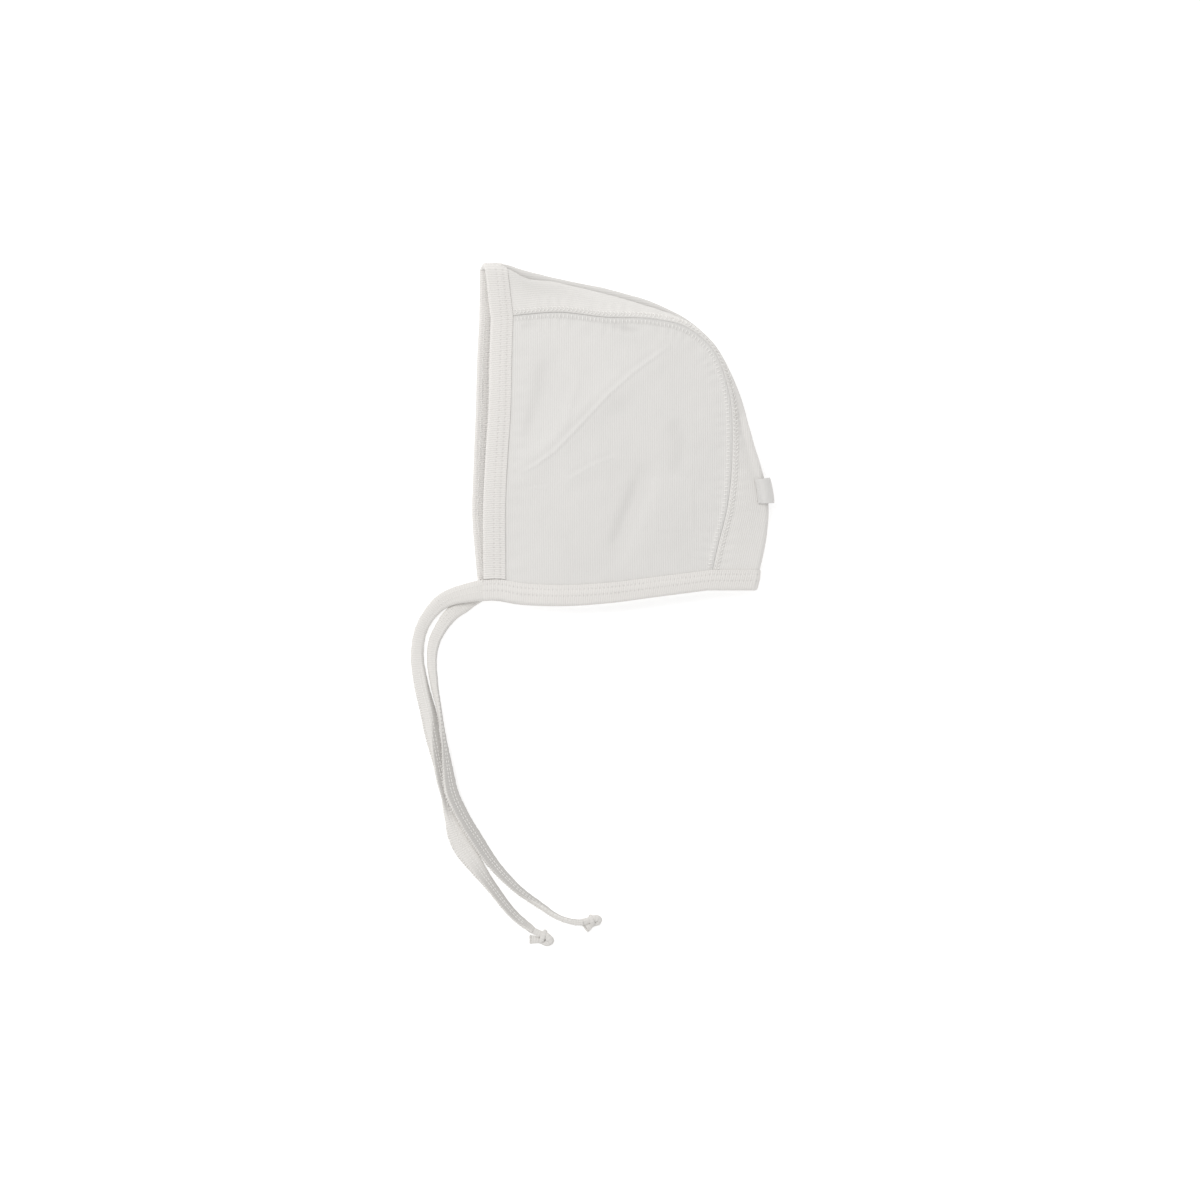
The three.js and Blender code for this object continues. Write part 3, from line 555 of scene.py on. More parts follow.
def crease_height(x, y):
    height = 0
    for depth, ridge, ridge_width, away, valley, ends in crease_parts(x, y):
        near_side = hill(away, np.where(away > 0, 0.6, 1.7) * ridge_width)
        height = height + ends * (ridge * near_side - depth * valley)
    return height


def crease_painted_shade(x, y):
    """Painted shade: how much darker the cloth is made in the creases' valleys"""
    shade = 0
    for depth, _, _, _, valley, ends in crease_parts(x, y):
        shade = shade + ends * depth / DARKEST_DEPTH * valley
    return shade


def imprint_height(x, y):
    """The faint edge of a square that lies under the cloth"""
    (low_x, low_y), (high_x, high_y) = IMPRINT_BOX
    across = np.minimum(x - (low_x - 0.5) * BONNET_DEPTH, (high_x - 0.5) * BONNET_DEPTH - x)
    up = np.minimum(y - (low_y - 0.5) * BONNET_HEIGHT, (high_y - 0.5) * BONNET_HEIGHT - y)
    return IMPRINT_RISE * smooth_share(np.minimum(across, up) / IMPRINT_EDGE)


RIPPLE_WAVES = 7


def ripple(x, y, seed, wavelength):
    """An uneven surface of a few crossing waves, from -1 to 1"""
    draw = np.random.default_rng(seed)
    total = 0
    for _ in range(RIPPLE_WAVES):
        angle = draw.uniform(0, 2 * np.pi)
        phase = draw.uniform(0, 2 * np.pi)
        stretch = draw.uniform(0.7, 1.5)
        wave = 2 * np.pi / (wavelength * stretch)
        total = total + np.sin(wave * (x * np.cos(angle) + y * np.sin(angle)) + phase)
    return total / RIPPLE_WAVES


def upper_patch(p, q):
    return edge_patch(
        lambda t: guide_point(upper_face, t), lambda t: guide_point(neck, t),
        lambda s: seam_point(s, -SEAM_GAP), p, q,
    )


def upper_point(p, q):
    point = upper_patch(p, q)
    inside = smooth_share(4 * p * (1 - p)) * smooth_share(4 * q * (1 - q))
    point[..., 2] += PANEL_DOME * np.sin(np.pi * p) * np.sin(np.pi * q)
    point[..., 2] += inside * swell_height(point[..., 0], point[..., 1])
    return point


def lower_point(p, q):
    point = edge_patch(
        lower_face_point, lower_neck_point, lambda s: lower_seam_point(s, -SEAM_GAP), p, q,
    )
    point[..., 2] = lower_height(p * CROWN_RUN, q * BACK_RUN)
    return point


FINE_STEP = 0.002
SEAM_STEP = 0.015


def facing(surface, a, b, sign):
    """The way out of a surface, from two short steps along it"""
    a = np.asarray(a, float)
    b = np.asarray(b, float)
    along_a = surface(np.minimum(1, a + FINE_STEP), b) - surface(np.maximum(0, a - FINE_STEP), b)
    along_b = surface(a, np.minimum(1, b + FINE_STEP)) - surface(a, np.maximum(0, b - FINE_STEP))
    return sign * unit(np.cross(along_a, along_b))


def seam_normal(s, lower):
    """The way out at a seam, half way between panel and gusset"""
    place = np.clip(s, FINE_STEP, 1 - FINE_STEP)
    edge = lower_seam_point if lower else seam_point
    surface = lower_point if lower else upper_point
    along = unit(edge(place + FINE_STEP) - edge(place - FINE_STEP))
    on_seam = edge(place)
    v = 1 - SEAM_STEP if lower else SEAM_STEP
    gusset = unit(gusset_point(place, v) - on_seam)
    on_crown = place < BEND
    p = np.where(on_crown, place / BEND, 1 - SEAM_STEP)
    q = np.where(on_crown, 1 - SEAM_STEP, (1 - place) / (1 - BEND))
    panel = unit(surface(p, q) - on_seam)
    normal = unit(unit(np.cross(along, gusset)) - unit(np.cross(along, panel)))
    return -normal if lower else normal


def walk(lines, distances):
    """The share of each line at which it is a given distance long"""
    steps = np.linalg.norm(np.diff(lines, axis=1), axis=2)
    lengths = np.concatenate([np.zeros((len(lines), 1)), np.cumsum(steps, axis=1)], axis=1)
    shares = np.linspace(0, 1, lines.shape[1])
    distances = np.broadcast_to(distances, (len(lines),))
    return np.array([np.interp(d, row, shares) for d, row in zip(distances, lengths)])


EDGE_SPAN = 0.3


def inset_along(line, distance):
    """Walks in from share 0 of each line; line takes the shares as its last axis"""
    t = np.linspace(0, EDGE_SPAN, 90)
    return EDGE_SPAN * walk(line(t[None, :]), distance)


def inset_rows(surface, shares, distance, from_face):
    """How far in from the face or neck edge a distance reaches, at each share along it"""
    def line(t):
        inwards = np.broadcast_to(t, (len(shares), t.shape[1]))
        along = shares[:, None]
        return surface(inwards, along) if from_face else surface(along, inwards)

    return inset_along(line, distance)


# Meshes


def new_object(name, points, faces, uvs=None, painted_shade=None, smooth_angle=50):
    """A named mesh object in the row frame, with smooth shading, its rib map and the painted shade of each
    point
    """
    mesh = bpy.data.meshes.new(name)
    if not isinstance(faces, list):
        faces = faces.tolist()
    mesh.from_pydata(points.tolist(), [], faces)
    mesh.update()
    if uvs is not None:
        layer = mesh.uv_layers.new(name="rib_map")
        corners = np.empty(len(mesh.loops), int)
        mesh.loops.foreach_get("vertex_index", corners)
        layer.data.foreach_set("uv", np.asarray(uvs, float)[corners].ravel())
    if painted_shade is not None:
        painted_shades = mesh.attributes.new("painted_shade", "FLOAT", "POINT")
        painted_shades.data.foreach_set("value", np.asarray(painted_shade, float).ravel())
    piece = bpy.data.objects.new(name, mesh)
    bpy.context.scene.collection.objects.link(piece)
    bpy.ops.object.select_all(action="DESELECT")
    piece.select_set(True)
    bpy.context.view_layer.objects.active = piece
    bpy.ops.object.shade_smooth_by_angle(angle=math.radians(smooth_angle))
    return piece


def grid_normals(points):
    """Normals of a grid, from its own cells, steady where cells are thin"""
    normals = np.cross(np.gradient(points, axis=0), np.gradient(points, axis=1))
    for _ in range(2):
        padded = np.pad(normals, ((1, 1), (1, 1), (0, 0)), mode="edge")
        normals = (padded[1:-1, 1:-1] * 2 + padded[:-2, 1:-1] + padded[2:, 1:-1]
                   + padded[1:-1, :-2] + padded[1:-1, 2:]) / 6
    return unit(normals)


def slab_faces(rows, columns):
    """Faces of a sheet's two sides and four edges, for two grids one after the other"""
    i, j = np.meshgrid(np.arange(rows - 1), np.arange(columns - 1), indexing="ij")
    a = (i * columns + j).ravel()
    top = np.stack([a, a + columns, a + columns + 1, a + 1], axis=1)
    count = rows * columns
    bottom = top[:, ::-1] + count
    first = np.arange(columns - 1)
    last = first + (rows - 1) * columns
    left = np.arange(rows - 1) * columns
    right = left + columns - 1
    edges = [
        np.stack([first, first + 1, first + 1 + count, first + count], axis=1),
        np.stack([last + 1, last, last + count, last + 1 + count], axis=1),
        np.stack([left + columns, left, left + count, left + columns + count], axis=1),
        np.stack([right, right + columns, right + columns + count, right + count], axis=1),
    ]
    return np.concatenate([top, bottom, *edges])


def outward(points, faces):
    """The same faces, turned so that the closed mesh's volume is positive"""
    corners = points[faces]
    cross = np.cross(corners[:, 1] - corners[:, 0], corners[:, 2] - corners[:, 0])
    cross = cross + np.cross(corners[:, 2] - corners[:, 0], corners[:, 3] - corners[:, 0])
    volume = np.sum(np.mean(corners, axis=1) * cross)
    return faces if volume > 0 else faces[:, ::-1]


def cloth(name, outer, inner, uv, painted_shade=0.0):
    """A closed sheet between an outer and an inner grid of points"""
    rows, columns = outer.shape[:2]
    points = np.concatenate([outer.reshape(-1, 3), inner.reshape(-1, 3)])
    flat_uv = uv.reshape(-1, 2)
    faces = outward(points, slab_faces(rows, columns))
    # Painted shade on the outer side only
    painted_shades = np.concatenate([np.broadcast_to(painted_shade, (rows, columns)).ravel(), np.zeros(rows * columns)])
    return new_object(name, points, faces, np.concatenate([flat_uv, flat_uv]), painted_shades)


def swept(name, rings, uv, painted_shade=0.0):
    """A closed section carried through rings of points, with closed ends"""
    count, sides = rings.shape[:2]
    points = rings.reshape(-1, 3)
    i, j = np.meshgrid(np.arange(count - 1), np.arange(sides), indexing="ij")
    a = (i * sides + j).ravel()
    b = (i * sides + (j + 1) % sides).ravel()
    faces = outward(points, np.stack([a, b, b + sides, a + sides], axis=1))
    turned = faces[0][1] != b[0]
    forward = list(range(sides))
    backward = forward[::-1]
    start = forward if turned else backward
    last = (count - 1) * sides
    end = [k + last for k in (backward if turned else forward)]
    painted_shades = np.broadcast_to(painted_shade, (count, sides))
    return new_object(name, points, faces.tolist() + [start, end], uv.reshape(-1, 2), painted_shades)


STITCH_SIDES = 5
STITCH_RINGS = ((0.0, 0.45), (0.18, 0.95), (0.5, 1.0), (0.82, 0.95), (1.0, 0.45))


def stitches(name, starts, ends, ups, radius, arch=0.9):
    """Short bulging threads from starts to ends, each arched up a little"""
    starts, ends, ups = (np.asarray(a, float) for a in (starts, ends, ups))
    way = unit(ends - starts)
    side = unit(np.cross(way, ups))
    up = np.cross(side, way)
    angles = np.arange(STITCH_SIDES) * 2 * np.pi / STITCH_SIDES
    rings = []
    for share, width in STITCH_RINGS:
        middle = mix(starts, ends, share) + up * (arch * radius * math.sin(math.pi * share))
        middle[:, 2] = np.maximum(middle[:, 2], radius + FLOOR_CLEAR)
        ring = middle[:, None] + radius * width * (
            side[:, None] * np.cos(angles)[None, :, None] + up[:, None] * np.sin(angles)[None, :, None]
        )
        rings.append(ring)
    points = np.stack(rings, axis=1)
    stitch_size = len(STITCH_RINGS) * STITCH_SIDES
    one = []
    for i in range(len(STITCH_RINGS) - 1):
        for j in range(STITCH_SIDES):
            a = i * STITCH_SIDES + j
            b = i * STITCH_SIDES + (j + 1) % STITCH_SIDES
            one.append([a, b, b + STITCH_SIDES, a + STITCH_SIDES])
    caps = [list(reversed(range(STITCH_SIDES))), list(range(stitch_size - STITCH_SIDES, stitch_size))]
    faces = []
    for k in range(len(starts)):
        base = k * stitch_size
        faces.extend([[v + base for v in face] for face in one + caps])
    flat = points.reshape(-1, 3)
    corners = flat[np.array(one)]
    cross = np.cross(corners[:, 1] - corners[:, 0], corners[:, 2] - corners[:, 0])
    if np.sum((np.mean(corners, axis=1) - flat[:stitch_size].mean(axis=0)) * cross) < 0:
        faces = [face[::-1] for face in faces]
    return new_object(name, flat, faces, np.zeros((len(flat), 2)))


def join_pieces(pieces, name):
    """Several pieces as one, under one name"""
    bpy.ops.object.select_all(action="DESELECT")
    for piece in pieces:
        piece.select_set(True)
    bpy.context.view_layer.objects.active = pieces[0]
    bpy.ops.object.join()
    pieces[0].name = name
    pieces[0].data.name = name
    return pieces[0]


def finish(piece, material, slot, *nodes):
    """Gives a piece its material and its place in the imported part"""
    piece.data.materials.clear()
    piece.data.materials.append(material)
    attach(piece, "root")
    if nodes:
        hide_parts(*nodes)
    return piece


# Materials


DEEPEST_SHADE = 0.6


class Wire:
    """A shader socket that works in plain arithmetic"""

    def __init__(self, tree, socket=None):
        self.tree = tree
        self.socket = socket

    def node(self, kind, settings, values, output=0):
        made = self.tree.nodes.new(kind)
        for name, value in settings.items():
            setattr(made, name, value)
        pairs = values.items() if isinstance(values, dict) else enumerate(values)
        for key, value in pairs:
            if isinstance(value, Wire):
                self.tree.links.new(value.socket, made.inputs[key])
            else:
                made.inputs[key].default_value = value
        return Wire(self.tree, made.outputs[output])

    def output(self, name):
        """Another output of the same node"""
        return Wire(self.tree, self.socket.node.outputs[name])

    def math(self, operation, *values):
        return self.node("ShaderNodeMath", {"operation": operation}, values)

    def __add__(self, other):
        return self.math("ADD", self, other)

    def __radd__(self, other):
        return self.math("ADD", other, self)

    def __sub__(self, other):
        return self.math("SUBTRACT", self, other)

    def __rsub__(self, other):
        return self.math("SUBTRACT", other, self)

    def __mul__(self, other):
        return self.math("MULTIPLY", self, other)

    def __rmul__(self, other):
        return self.math("MULTIPLY", other, self)

    def __truediv__(self, other):
        return self.math("DIVIDE", self, other)

    def __rtruediv__(self, other):
        return self.math("DIVIDE", other, self)

    def fraction(self):
        return self.math("FRACT", self)

    def absolute(self):
        return self.math("ABSOLUTE", self)

    def sine(self):
        return self.math("SINE", self)

    def noise(self, scale, detail, place):
        return self.node("ShaderNodeTexNoise", {}, {"Vector": place, "Scale": scale, "Detail": detail})


def start_material(name, roughness, sheen):
    """A new material, its first wire and its shader"""
    material = bpy.data.materials.new(name)
    material.use_nodes = True
    shader = material.node_tree.nodes["Principled BSDF"]
    shader.inputs["Roughness"].default_value = roughness
    shader.inputs["Specular IOR Level"].default_value = 0.25
    shader.inputs["Sheen Weight"].default_value = sheen
    shader.inputs["Sheen Roughness"].default_value = 0.5
    place = Wire(material.node_tree).node("ShaderNodeTexCoord", {}, {}, "Object")
    return material, place, shader


def finish_material(wire, shader, colour, shade, height, distance):
    """Shades the colour and raises the surface"""
    tint = wire.node("ShaderNodeMix", {"data_type": "RGBA", "blend_type": "MIX"}, {
        0: shade * 0.5 + 0.5, 6: (*[c * DEEPEST_SHADE for c in colour], 1), 7: (*colour, 1),
    }, output=2)
    bump = wire.node("ShaderNodeBump", {}, {"Strength": 1.0, "Distance": distance, "Height": height})
    wire.tree.links.new(tint.socket, shader.inputs["Base Color"])
    wire.tree.links.new(bump.socket, shader.inputs["Normal"])


def knit_material(name, colour, knit, relief=1.0, rib_groove_shade=0.2):
    """Rib knit: ribs across the map's first direction, loops along its second"""
    material, place, shader = start_material(name, 0.95, 0.08)
    rib_map = place.node("ShaderNodeUVMap", {"uv_map": "rib_map"}, {})
    split = place.node("ShaderNodeSeparateXYZ", {}, [rib_map])
    across = split.output("X")
    along = split.output("Y")
    waver = place.noise(90.0, 2.0, place) - 0.5
    rib = (across / (knit.rib_pitch / MM) + waver * 0.35).fraction()
    groove = ((rib - 0.5) * 2.0).absolute()
    ridge = 1.0 - groove * groove
    loops = ((along / (knit.loop_pitch / MM) + groove * 0.45) * (2 * math.pi)).sine() * 0.5 + 0.5
    fuzz = place.noise(2600.0, 3.0, place)
    mottle = place.noise(55.0, 3.0, place)
    height = ridge * 0.62 + loops * ridge * 0.22 + fuzz * 0.34
    # The colour is darkened by painted shade: each point's stored shade, and darker rib grooves and loop
    # hollows. Mottle and fuzz are random tone.
    painted_shade = place.node("ShaderNodeAttribute", {"attribute_name": "painted_shade"}, {}, "Fac")
    shade = 0.66 - painted_shade * 2.0 + ridge * rib_groove_shade + loops * 0.04 + (mottle - 0.5) * 0.22 + (fuzz - 0.5) * 0.14
    finish_material(place, shader, colour, shade, height, knit.rib_depth * relief)
    return material


def thread_material(colour):
    """Twisted sewing thread"""
    material, place, shader = start_material("sewing_thread", 0.7, 0.1)
    twist = place.noise(2200.0, 2.0, place)
    finish_material(place, shader, colour, 0.7 + twist * 0.4, twist, 0.05 * MM)
    return material


def label_material(colour):
    """Fine plain woven tape"""
    material, place, shader = start_material("label_weave", 0.75, 0.05)
    rib_map = place.node("ShaderNodeUVMap", {"uv_map": "rib_map"}, {})
    split = place.node("ShaderNodeSeparateXYZ", {}, [rib_map])
    weave_pitch = 0.32
    warp = (split.output("X") * (2 * math.pi / weave_pitch)).sine()
    weft = (split.output("Y") * (2 * math.pi / weave_pitch)).sine()
    mottle = place.noise(160.0, 2.0, place)
    height = warp * weft * 0.5 + 0.5
    # Lighter on the weave's raised crossings and darker in its hollows: painted shade. The mottle is random
    # tone.
    shade = 0.7 + height * 0.16 + (mottle - 0.5) * 0.2
    finish_material(place, shader, colour, shade, height, 0.06 * MM)
    return material


FLOOR_GLOW = 0.5


def floor_material(colour):
    """A pale matt floor with a faint grain"""
    material, place, shader = start_material("floor_paper", 0.9, 0.0)
    grain = place.noise(40.0, 2.0, place)
    finish_material(place, shader, colour, 0.97 + (grain - 0.5) * 0.03, grain, 0.01 * MM)
    shader.inputs["Emission Color"].default_value = (1, 1, 1, 1)
    shader.inputs["Emission Strength"].default_value = FLOOR_GLOW
    return material


def material_named(name, maker):
    """The scene's material of that name, made when it is first asked for"""
    return bpy.data.materials.get(name) or maker()


def thread_finish(scene):
    return material_named("sewing_thread", lambda: thread_material(tuple(scene.bonnet_colours.thread)))


# The stage


FLOOR_SIZE = 12.0
KEY_PLACE = (-2.5, 2.1, 4.6)
KEY_SIZE = 2.6
FRAME_WIDTH = 0.6
PHOTO_MIDDLE = (-10.75 * MM, -83.0 * MM)
LENS = 200.0
SENSOR = 36.0


def make_stage(scene):
    bpy.ops.object.select_all(action="DESELECT")
    bpy.ops.mesh.primitive_plane_add(size=FLOOR_SIZE, location=(0, 0, 0))
    floor = bpy.context.active_object
    floor.name = "floor"
    floor.data.materials.append(floor_material(tuple(scene.bonnet_colours.floor)))

    lens = bpy.data.cameras.new("photo_camera")
    lens.lens = LENS
    lens.sensor_width = SENSOR
    lens.clip_end = 50
    camera = bpy.data.objects.new("photo_camera", lens)
    camera.location = (*PHOTO_MIDDLE, FRAME_WIDTH * LENS / SENSOR)
    scene.collection.objects.link(camera)
    scene.camera = camera

    key_data = bpy.data.lights.new("key_light", "AREA")
    key_data.energy = scene.bonnet_studio.key
    key_data.size = KEY_SIZE
    key = bpy.data.objects.new("key_light", key_data)
    key.location = KEY_PLACE
    key.rotation_euler = (Vector((0, 0, 0)) - key.location).to_track_quat("-Z", "Y").to_euler()
    scene.collection.objects.link(key)

    world = bpy.data.worlds.new("studio")
    world.use_nodes = True
    sky = world.node_tree.nodes["Background"]
    sky.inputs["Color"].default_value = (1, 1, 1, 1)
    sky.inputs["Strength"].default_value = scene.bonnet_studio.sky
    scene.world = world
    scene.view_settings.view_transform = "Standard"


# The ties and their knots


def route_curve(route, count):
    """Even places along a route, in metres, with the length so far"""
    points = np.array(route)
    points[0] -= unit(points[1] - points[0]) * TIE_TUCK
    steps = np.linalg.norm(np.diff(points, axis=0), axis=1)
    places = np.concatenate([[0], np.cumsum(steps)])
    fine = np.linspace(0, places[-1], 20 * len(route))
    line = stacked(*(smooth_at(places, points[:, k], fine) for k in range(3)))
    lengths = np.concatenate([[0], np.cumsum(np.linalg.norm(np.diff(line, axis=0), axis=1))])
    even = np.linspace(0, lengths[-1], count)
    return stacked(*(np.interp(even, lengths, line[:, k]) for k in range(3))), even


TIE_SIDES = 44
TIE_ROWS_ACROSS = (0.02, 0.4)
TIE_TUCK = 0.9 * MM
TIE_START_ROWS = (-0.5, 0.1)
TIE_START_LENGTH = 24 * MM
TIE_SEWN_FROM = 60 * MM
TIE_ROW_DEPTH = 0.22 * MM
RIDGE_LIMIT = 0.86
TIE_STEP = 0.55 * MM
# How much painted shade darkens a tie's flank beyond its ridge, and each knot all over
TIE_FLANK_SHADE = 0.65
KNOT_PAINTED_SHADE = 0.16


class Tie:
    """A folded and stitched strip along its route"""

    def __init__(self, route, rows, seed):
        length = np.sum(np.linalg.norm(np.diff(np.array(route), axis=0), axis=1))
        self.middle, self.lengths = route_curve(route, int(length / TIE_STEP))
        self.length = self.lengths[-1]
        table = dict(zip(TIE_COLUMNS, np.array(rows, float).T))
        share = self.lengths / self.length
        self.columns = {name: smooth_at(table["share"], table[name], share) for name in TIE_COLUMNS[1:]}
        way = unit(np.gradient(self.middle, axis=0))
        self.side = unit(np.cross(np.array([0.0, 0.0, 1.0]), way))
        self.up = np.cross(way, self.side)
        self.seed = seed
        self.rings = self.make_rings()

    def top(self, a):
        """Height of the upper side over the middle, at a from -1 to 1 across"""
        thick = self.columns["thick"][:, None] * MM
        high = self.columns["high"][:, None] * MM
        ridge = np.clip(self.columns["ridge"][:, None], -RIDGE_LIMIT, RIDGE_LIMIT)
        rising = (1 + a) / (1 + ridge)
        falling = (1 - a) / (1 - ridge)
        soft = 0.18
        gap = np.clip(0.5 + 0.5 * (falling - rising) / soft, 0, 1)
        roof = mix(falling, rising, gap) - soft * gap * (1 - gap)
        edge = (1 - np.abs(a) ** 4) ** 0.5
        rows = sum(hill(a - row, 0.09) for row in TIE_ROWS_ACROSS)
        faded = smooth_share((self.lengths[:, None] - 8 * MM) / (10 * MM))
        return edge * (thick / 2 + high * roof - TIE_ROW_DEPTH * rows * faded)

    def turned(self):
        """How far each point lies on the strip's flank beyond its ridge, turned away from the key light,
        where it gets painted shade
        """
        angles = np.arange(TIE_SIDES) * 2 * np.pi / TIE_SIDES
        beyond = smooth_share((np.cos(angles)[None, :] - self.columns["ridge"][:, None]) / 0.25)
        return beyond * smooth_share((self.columns["high"][:, None] - 0.5) / 0.9)

    def make_rings(self):
        angles = np.arange(TIE_SIDES) * 2 * np.pi / TIE_SIDES
        across = np.sign(np.cos(angles)) * np.abs(np.cos(angles)) ** 0.8
        upper = np.sin(angles) > 0
        a = across[None, :]
        width = self.columns["width"][:, None] * MM
        thick = self.columns["thick"][:, None] * MM
        aside = self.columns["aside"][:, None] * MM
        edge = (1 - np.abs(a) ** 4) ** 0.5
        high = np.where(upper[None, :], self.top(a), -edge * thick / 2)
        lengths = self.lengths[:, None]
        fray = ripple(lengths, 40 * a * MM, self.seed, 3.2 * MM) * 0.16 * MM
        sway = ripple(lengths, 0 * lengths, self.seed + 5, 23 * MM) * 0.3 * MM
        out = aside + sway + across[None, :] * (width / 2 + fray)
        rings = self.middle[:, None] + self.side[:, None] * out[..., None]
        rings = rings + self.up[:, None] * high[..., None]
        rings[..., 2] = np.maximum(rings[..., 2], FLOOR_CLEAR)
        return rings

    def place(self, lengths, a, lift):
        """Points on the upper side"""
        a = np.broadcast_to(a, np.shape(lengths))
        width = np.interp(lengths, self.lengths, self.columns["width"]) * MM
        aside = np.interp(lengths, self.lengths, self.columns["aside"]) * MM
        grid = np.linspace(-0.98, 0.98, 41)
        heights = self.top(grid[None, :])
        rows = np.clip(np.searchsorted(self.lengths, lengths), 0, len(self.lengths) - 1)
        high = np.array([np.interp(x, grid, heights[r]) for x, r in zip(a, rows)])
        middle = stacked(*(np.interp(lengths, self.lengths, self.middle[:, k]) for k in range(3)))
        side = self.side[rows]
        up = self.up[rows]
        return middle + side * (aside + a * width / 2)[:, None] + up * (high + lift)[:, None], up


def tie_piece(name, tie):
    """The tie's own body, with painted shade on its flank beyond the ridge where it lies high"""
    section = np.linalg.norm(np.diff(tie.rings, axis=1, append=tie.rings[:, :1]), axis=2)
    around = np.cumsum(section, axis=1) / MM
    along = np.broadcast_to(tie.lengths[:, None] / MM, around.shape)
    return swept(name, tie.rings, np.stack([along, around], axis=-1), TIE_FLANK_SHADE * tie.turned())


def tie_sewing(name, tie, edge):
    """Two rows of needle stitches at the start, two beyond, and an overlocked edge"""
    runs = (
        (TIE_START_ROWS, 1 * MM, TIE_START_LENGTH, 0.6, 0),
        (TIE_ROWS_ACROSS, TIE_SEWN_FROM, tie.length - 6 * MM, 0.7, 0.02 * MM),
    )
    starts, ends, ups = [], [], []
    for rows, first, last, reach, lift in runs:
        lengths = np.arange(first, last, NEEDLE_PITCH)
        for row in rows:
            a, up = tie.place(lengths, row, lift)
            b, _ = tie.place(lengths + reach * NEEDLE_PITCH, row, lift)
            starts.append(a)
            ends.append(b)
            ups.append(up)
    lengths = np.arange(TIE_SEWN_FROM, tie.length - 1 * MM, OVERLOCK_PITCH)
    draw = np.random.default_rng(tie.seed)
    a, up = tie.place(lengths, edge * 0.68, 0.05 * MM)
    ahead = draw.uniform(0.1, 0.6, len(lengths)) * OVERLOCK_PITCH
    b, _ = tie.place(lengths + ahead, edge * 0.97, -0.1 * MM)
    side = edge * tie.side[np.clip(np.searchsorted(tie.lengths, lengths), 0, len(tie.lengths) - 1)]
    b = b + side * draw.uniform(0.0, 0.8, (len(lengths), 1)) * MM
    starts.append(a)
    ends.append(b)
    ups.append(up)
    return stitches(name, np.concatenate(starts), np.concatenate(ends), np.concatenate(ups), 0.2 * MM)


KNOT_SIDES = 16
KNOT_RINGS = 90
FRINGE_COUNT = 60


def knot_strand(name, rows, start, along, seed):
    """One strand of a knot, pleated lengthwise"""
    table = dict(zip(KNOT_COLUMNS, np.array(rows, float).T * MM))
    points = stacked(table["along"], table["aside"], table["up"])
    places = np.concatenate([[0], np.cumsum(np.linalg.norm(np.diff(points, axis=0), axis=1))])
    t = np.linspace(0, places[-1], KNOT_RINGS)
    line = {key: smooth_at(places, table[key], t) for key in KNOT_COLUMNS}
    aside = np.array([-along[1], along[0], 0])
    up = np.array([0, 0, 1.0])
    middle = (start + line["along"][:, None] * along + line["aside"][:, None] * aside
              + line["up"][:, None] * up)
    tangent = unit(np.gradient(middle, axis=0))
    flat = unit(np.cross(up, tangent) + 1e-6)
    rise = np.cross(tangent, flat)
    angles = np.arange(KNOT_SIDES) * 2 * np.pi / KNOT_SIDES
    pleats = 1 + 0.07 * np.sin(5 * angles[None, :] + 6 * t[:, None] / places[-1]) + 0.06 * ripple(
        t[:, None], angles[None, :] * 0.6 * MM, seed, 1.4 * MM)
    rings = (middle[:, None]
             + flat[:, None] * (line["wide"][:, None] / 2 * np.cos(angles) * pleats)[..., None]
             + rise[:, None] * (line["thick"][:, None] / 2 * np.sin(angles) * pleats)[..., None])
    rings[..., 2] = np.maximum(rings[..., 2], KNOT_CLEAR)
    uv = np.stack(np.broadcast_arrays(t[:, None] / MM, angles[None, :] * 1.6), axis=-1)
    # The whole strand carries the knot's painted shade
    return swept(name, rings, uv, KNOT_PAINTED_SHADE), middle[-1], tangent[-1], flat[-1]


def knot_piece(name, tie, lean, stretch, seed):
    """A tie's end, turned back on itself and wrapped, with a frayed cut end"""
    way = unit(tie.middle[-1] - tie.middle[-4])
    angle = math.atan2(way[1], way[0]) + math.radians(lean)
    along = np.array([math.cos(angle), math.sin(angle), 0]) * stretch
    start = np.array([tie.middle[-1][0], tie.middle[-1][1], 0])
    strand, tip_end, tip_way, tip_flat = knot_strand(name + "_strand", KNOT_ROWS, start, along, seed)
    wrap, _, _, _ = knot_strand(name + "_wrap", KNOT_WRAP_ROWS, start, along, seed + 1)
    up = np.array([0, 0, 1.0])
    draw = np.random.default_rng(seed)
    each = (FRINGE_COUNT, 1)
    root = tip_end + tip_flat * draw.uniform(-2.0, 2.0, each) * MM
    root = root + up * draw.uniform(-0.5, 0.5, each) * MM
    tip = root + tip_way * draw.uniform(0.4, 1.5, each) * MM
    tip = tip + tip_flat * draw.uniform(-0.6, 0.6, each) * MM
    droop = draw.uniform(-0.7, 0.3, FRINGE_COUNT) * MM
    tip[:, 2] = np.maximum(tip[:, 2] + droop, FRINGE_CLEAR)
    root[:, 2] = np.maximum(root[:, 2], FRINGE_CLEAR)
    fringe = stitches(name + "_fringe", root, tip, np.tile(up, each), 0.13 * MM, 0.3)
    return join_pieces([strand, wrap, fringe], name)


def make_ties(scene):
    knit = scene.bonnet_knit
    material = knit_material("tie_knit_rib", tuple(scene.bonnet_colours.tie), knit)
    thread = thread_finish(scene)
    jobs = (
        ("left_tie", LEFT_TIE_ROUTE, LEFT_TIE_ROWS, -1, 7, 1.22, 11),
        ("right_tie", RIGHT_TIE_ROUTE, RIGHT_TIE_ROWS, -1, 12, 0.93, 23),
    )
    for node, route, rows, edge, lean, stretch, seed in jobs:
        tie = Tie(route, rows, seed)
        body = finish(tie_piece(node + "_knit", tie), material, "tie_knit", node)
        sewing = finish(tie_sewing(node + "_stitches", tie, edge), thread, "tie_knit")
        knot = knot_piece(node + "_knot_knit", tie, lean, stretch, seed)
        finish(knot, material, "tie_knit", node + "_knot")


# The side panels


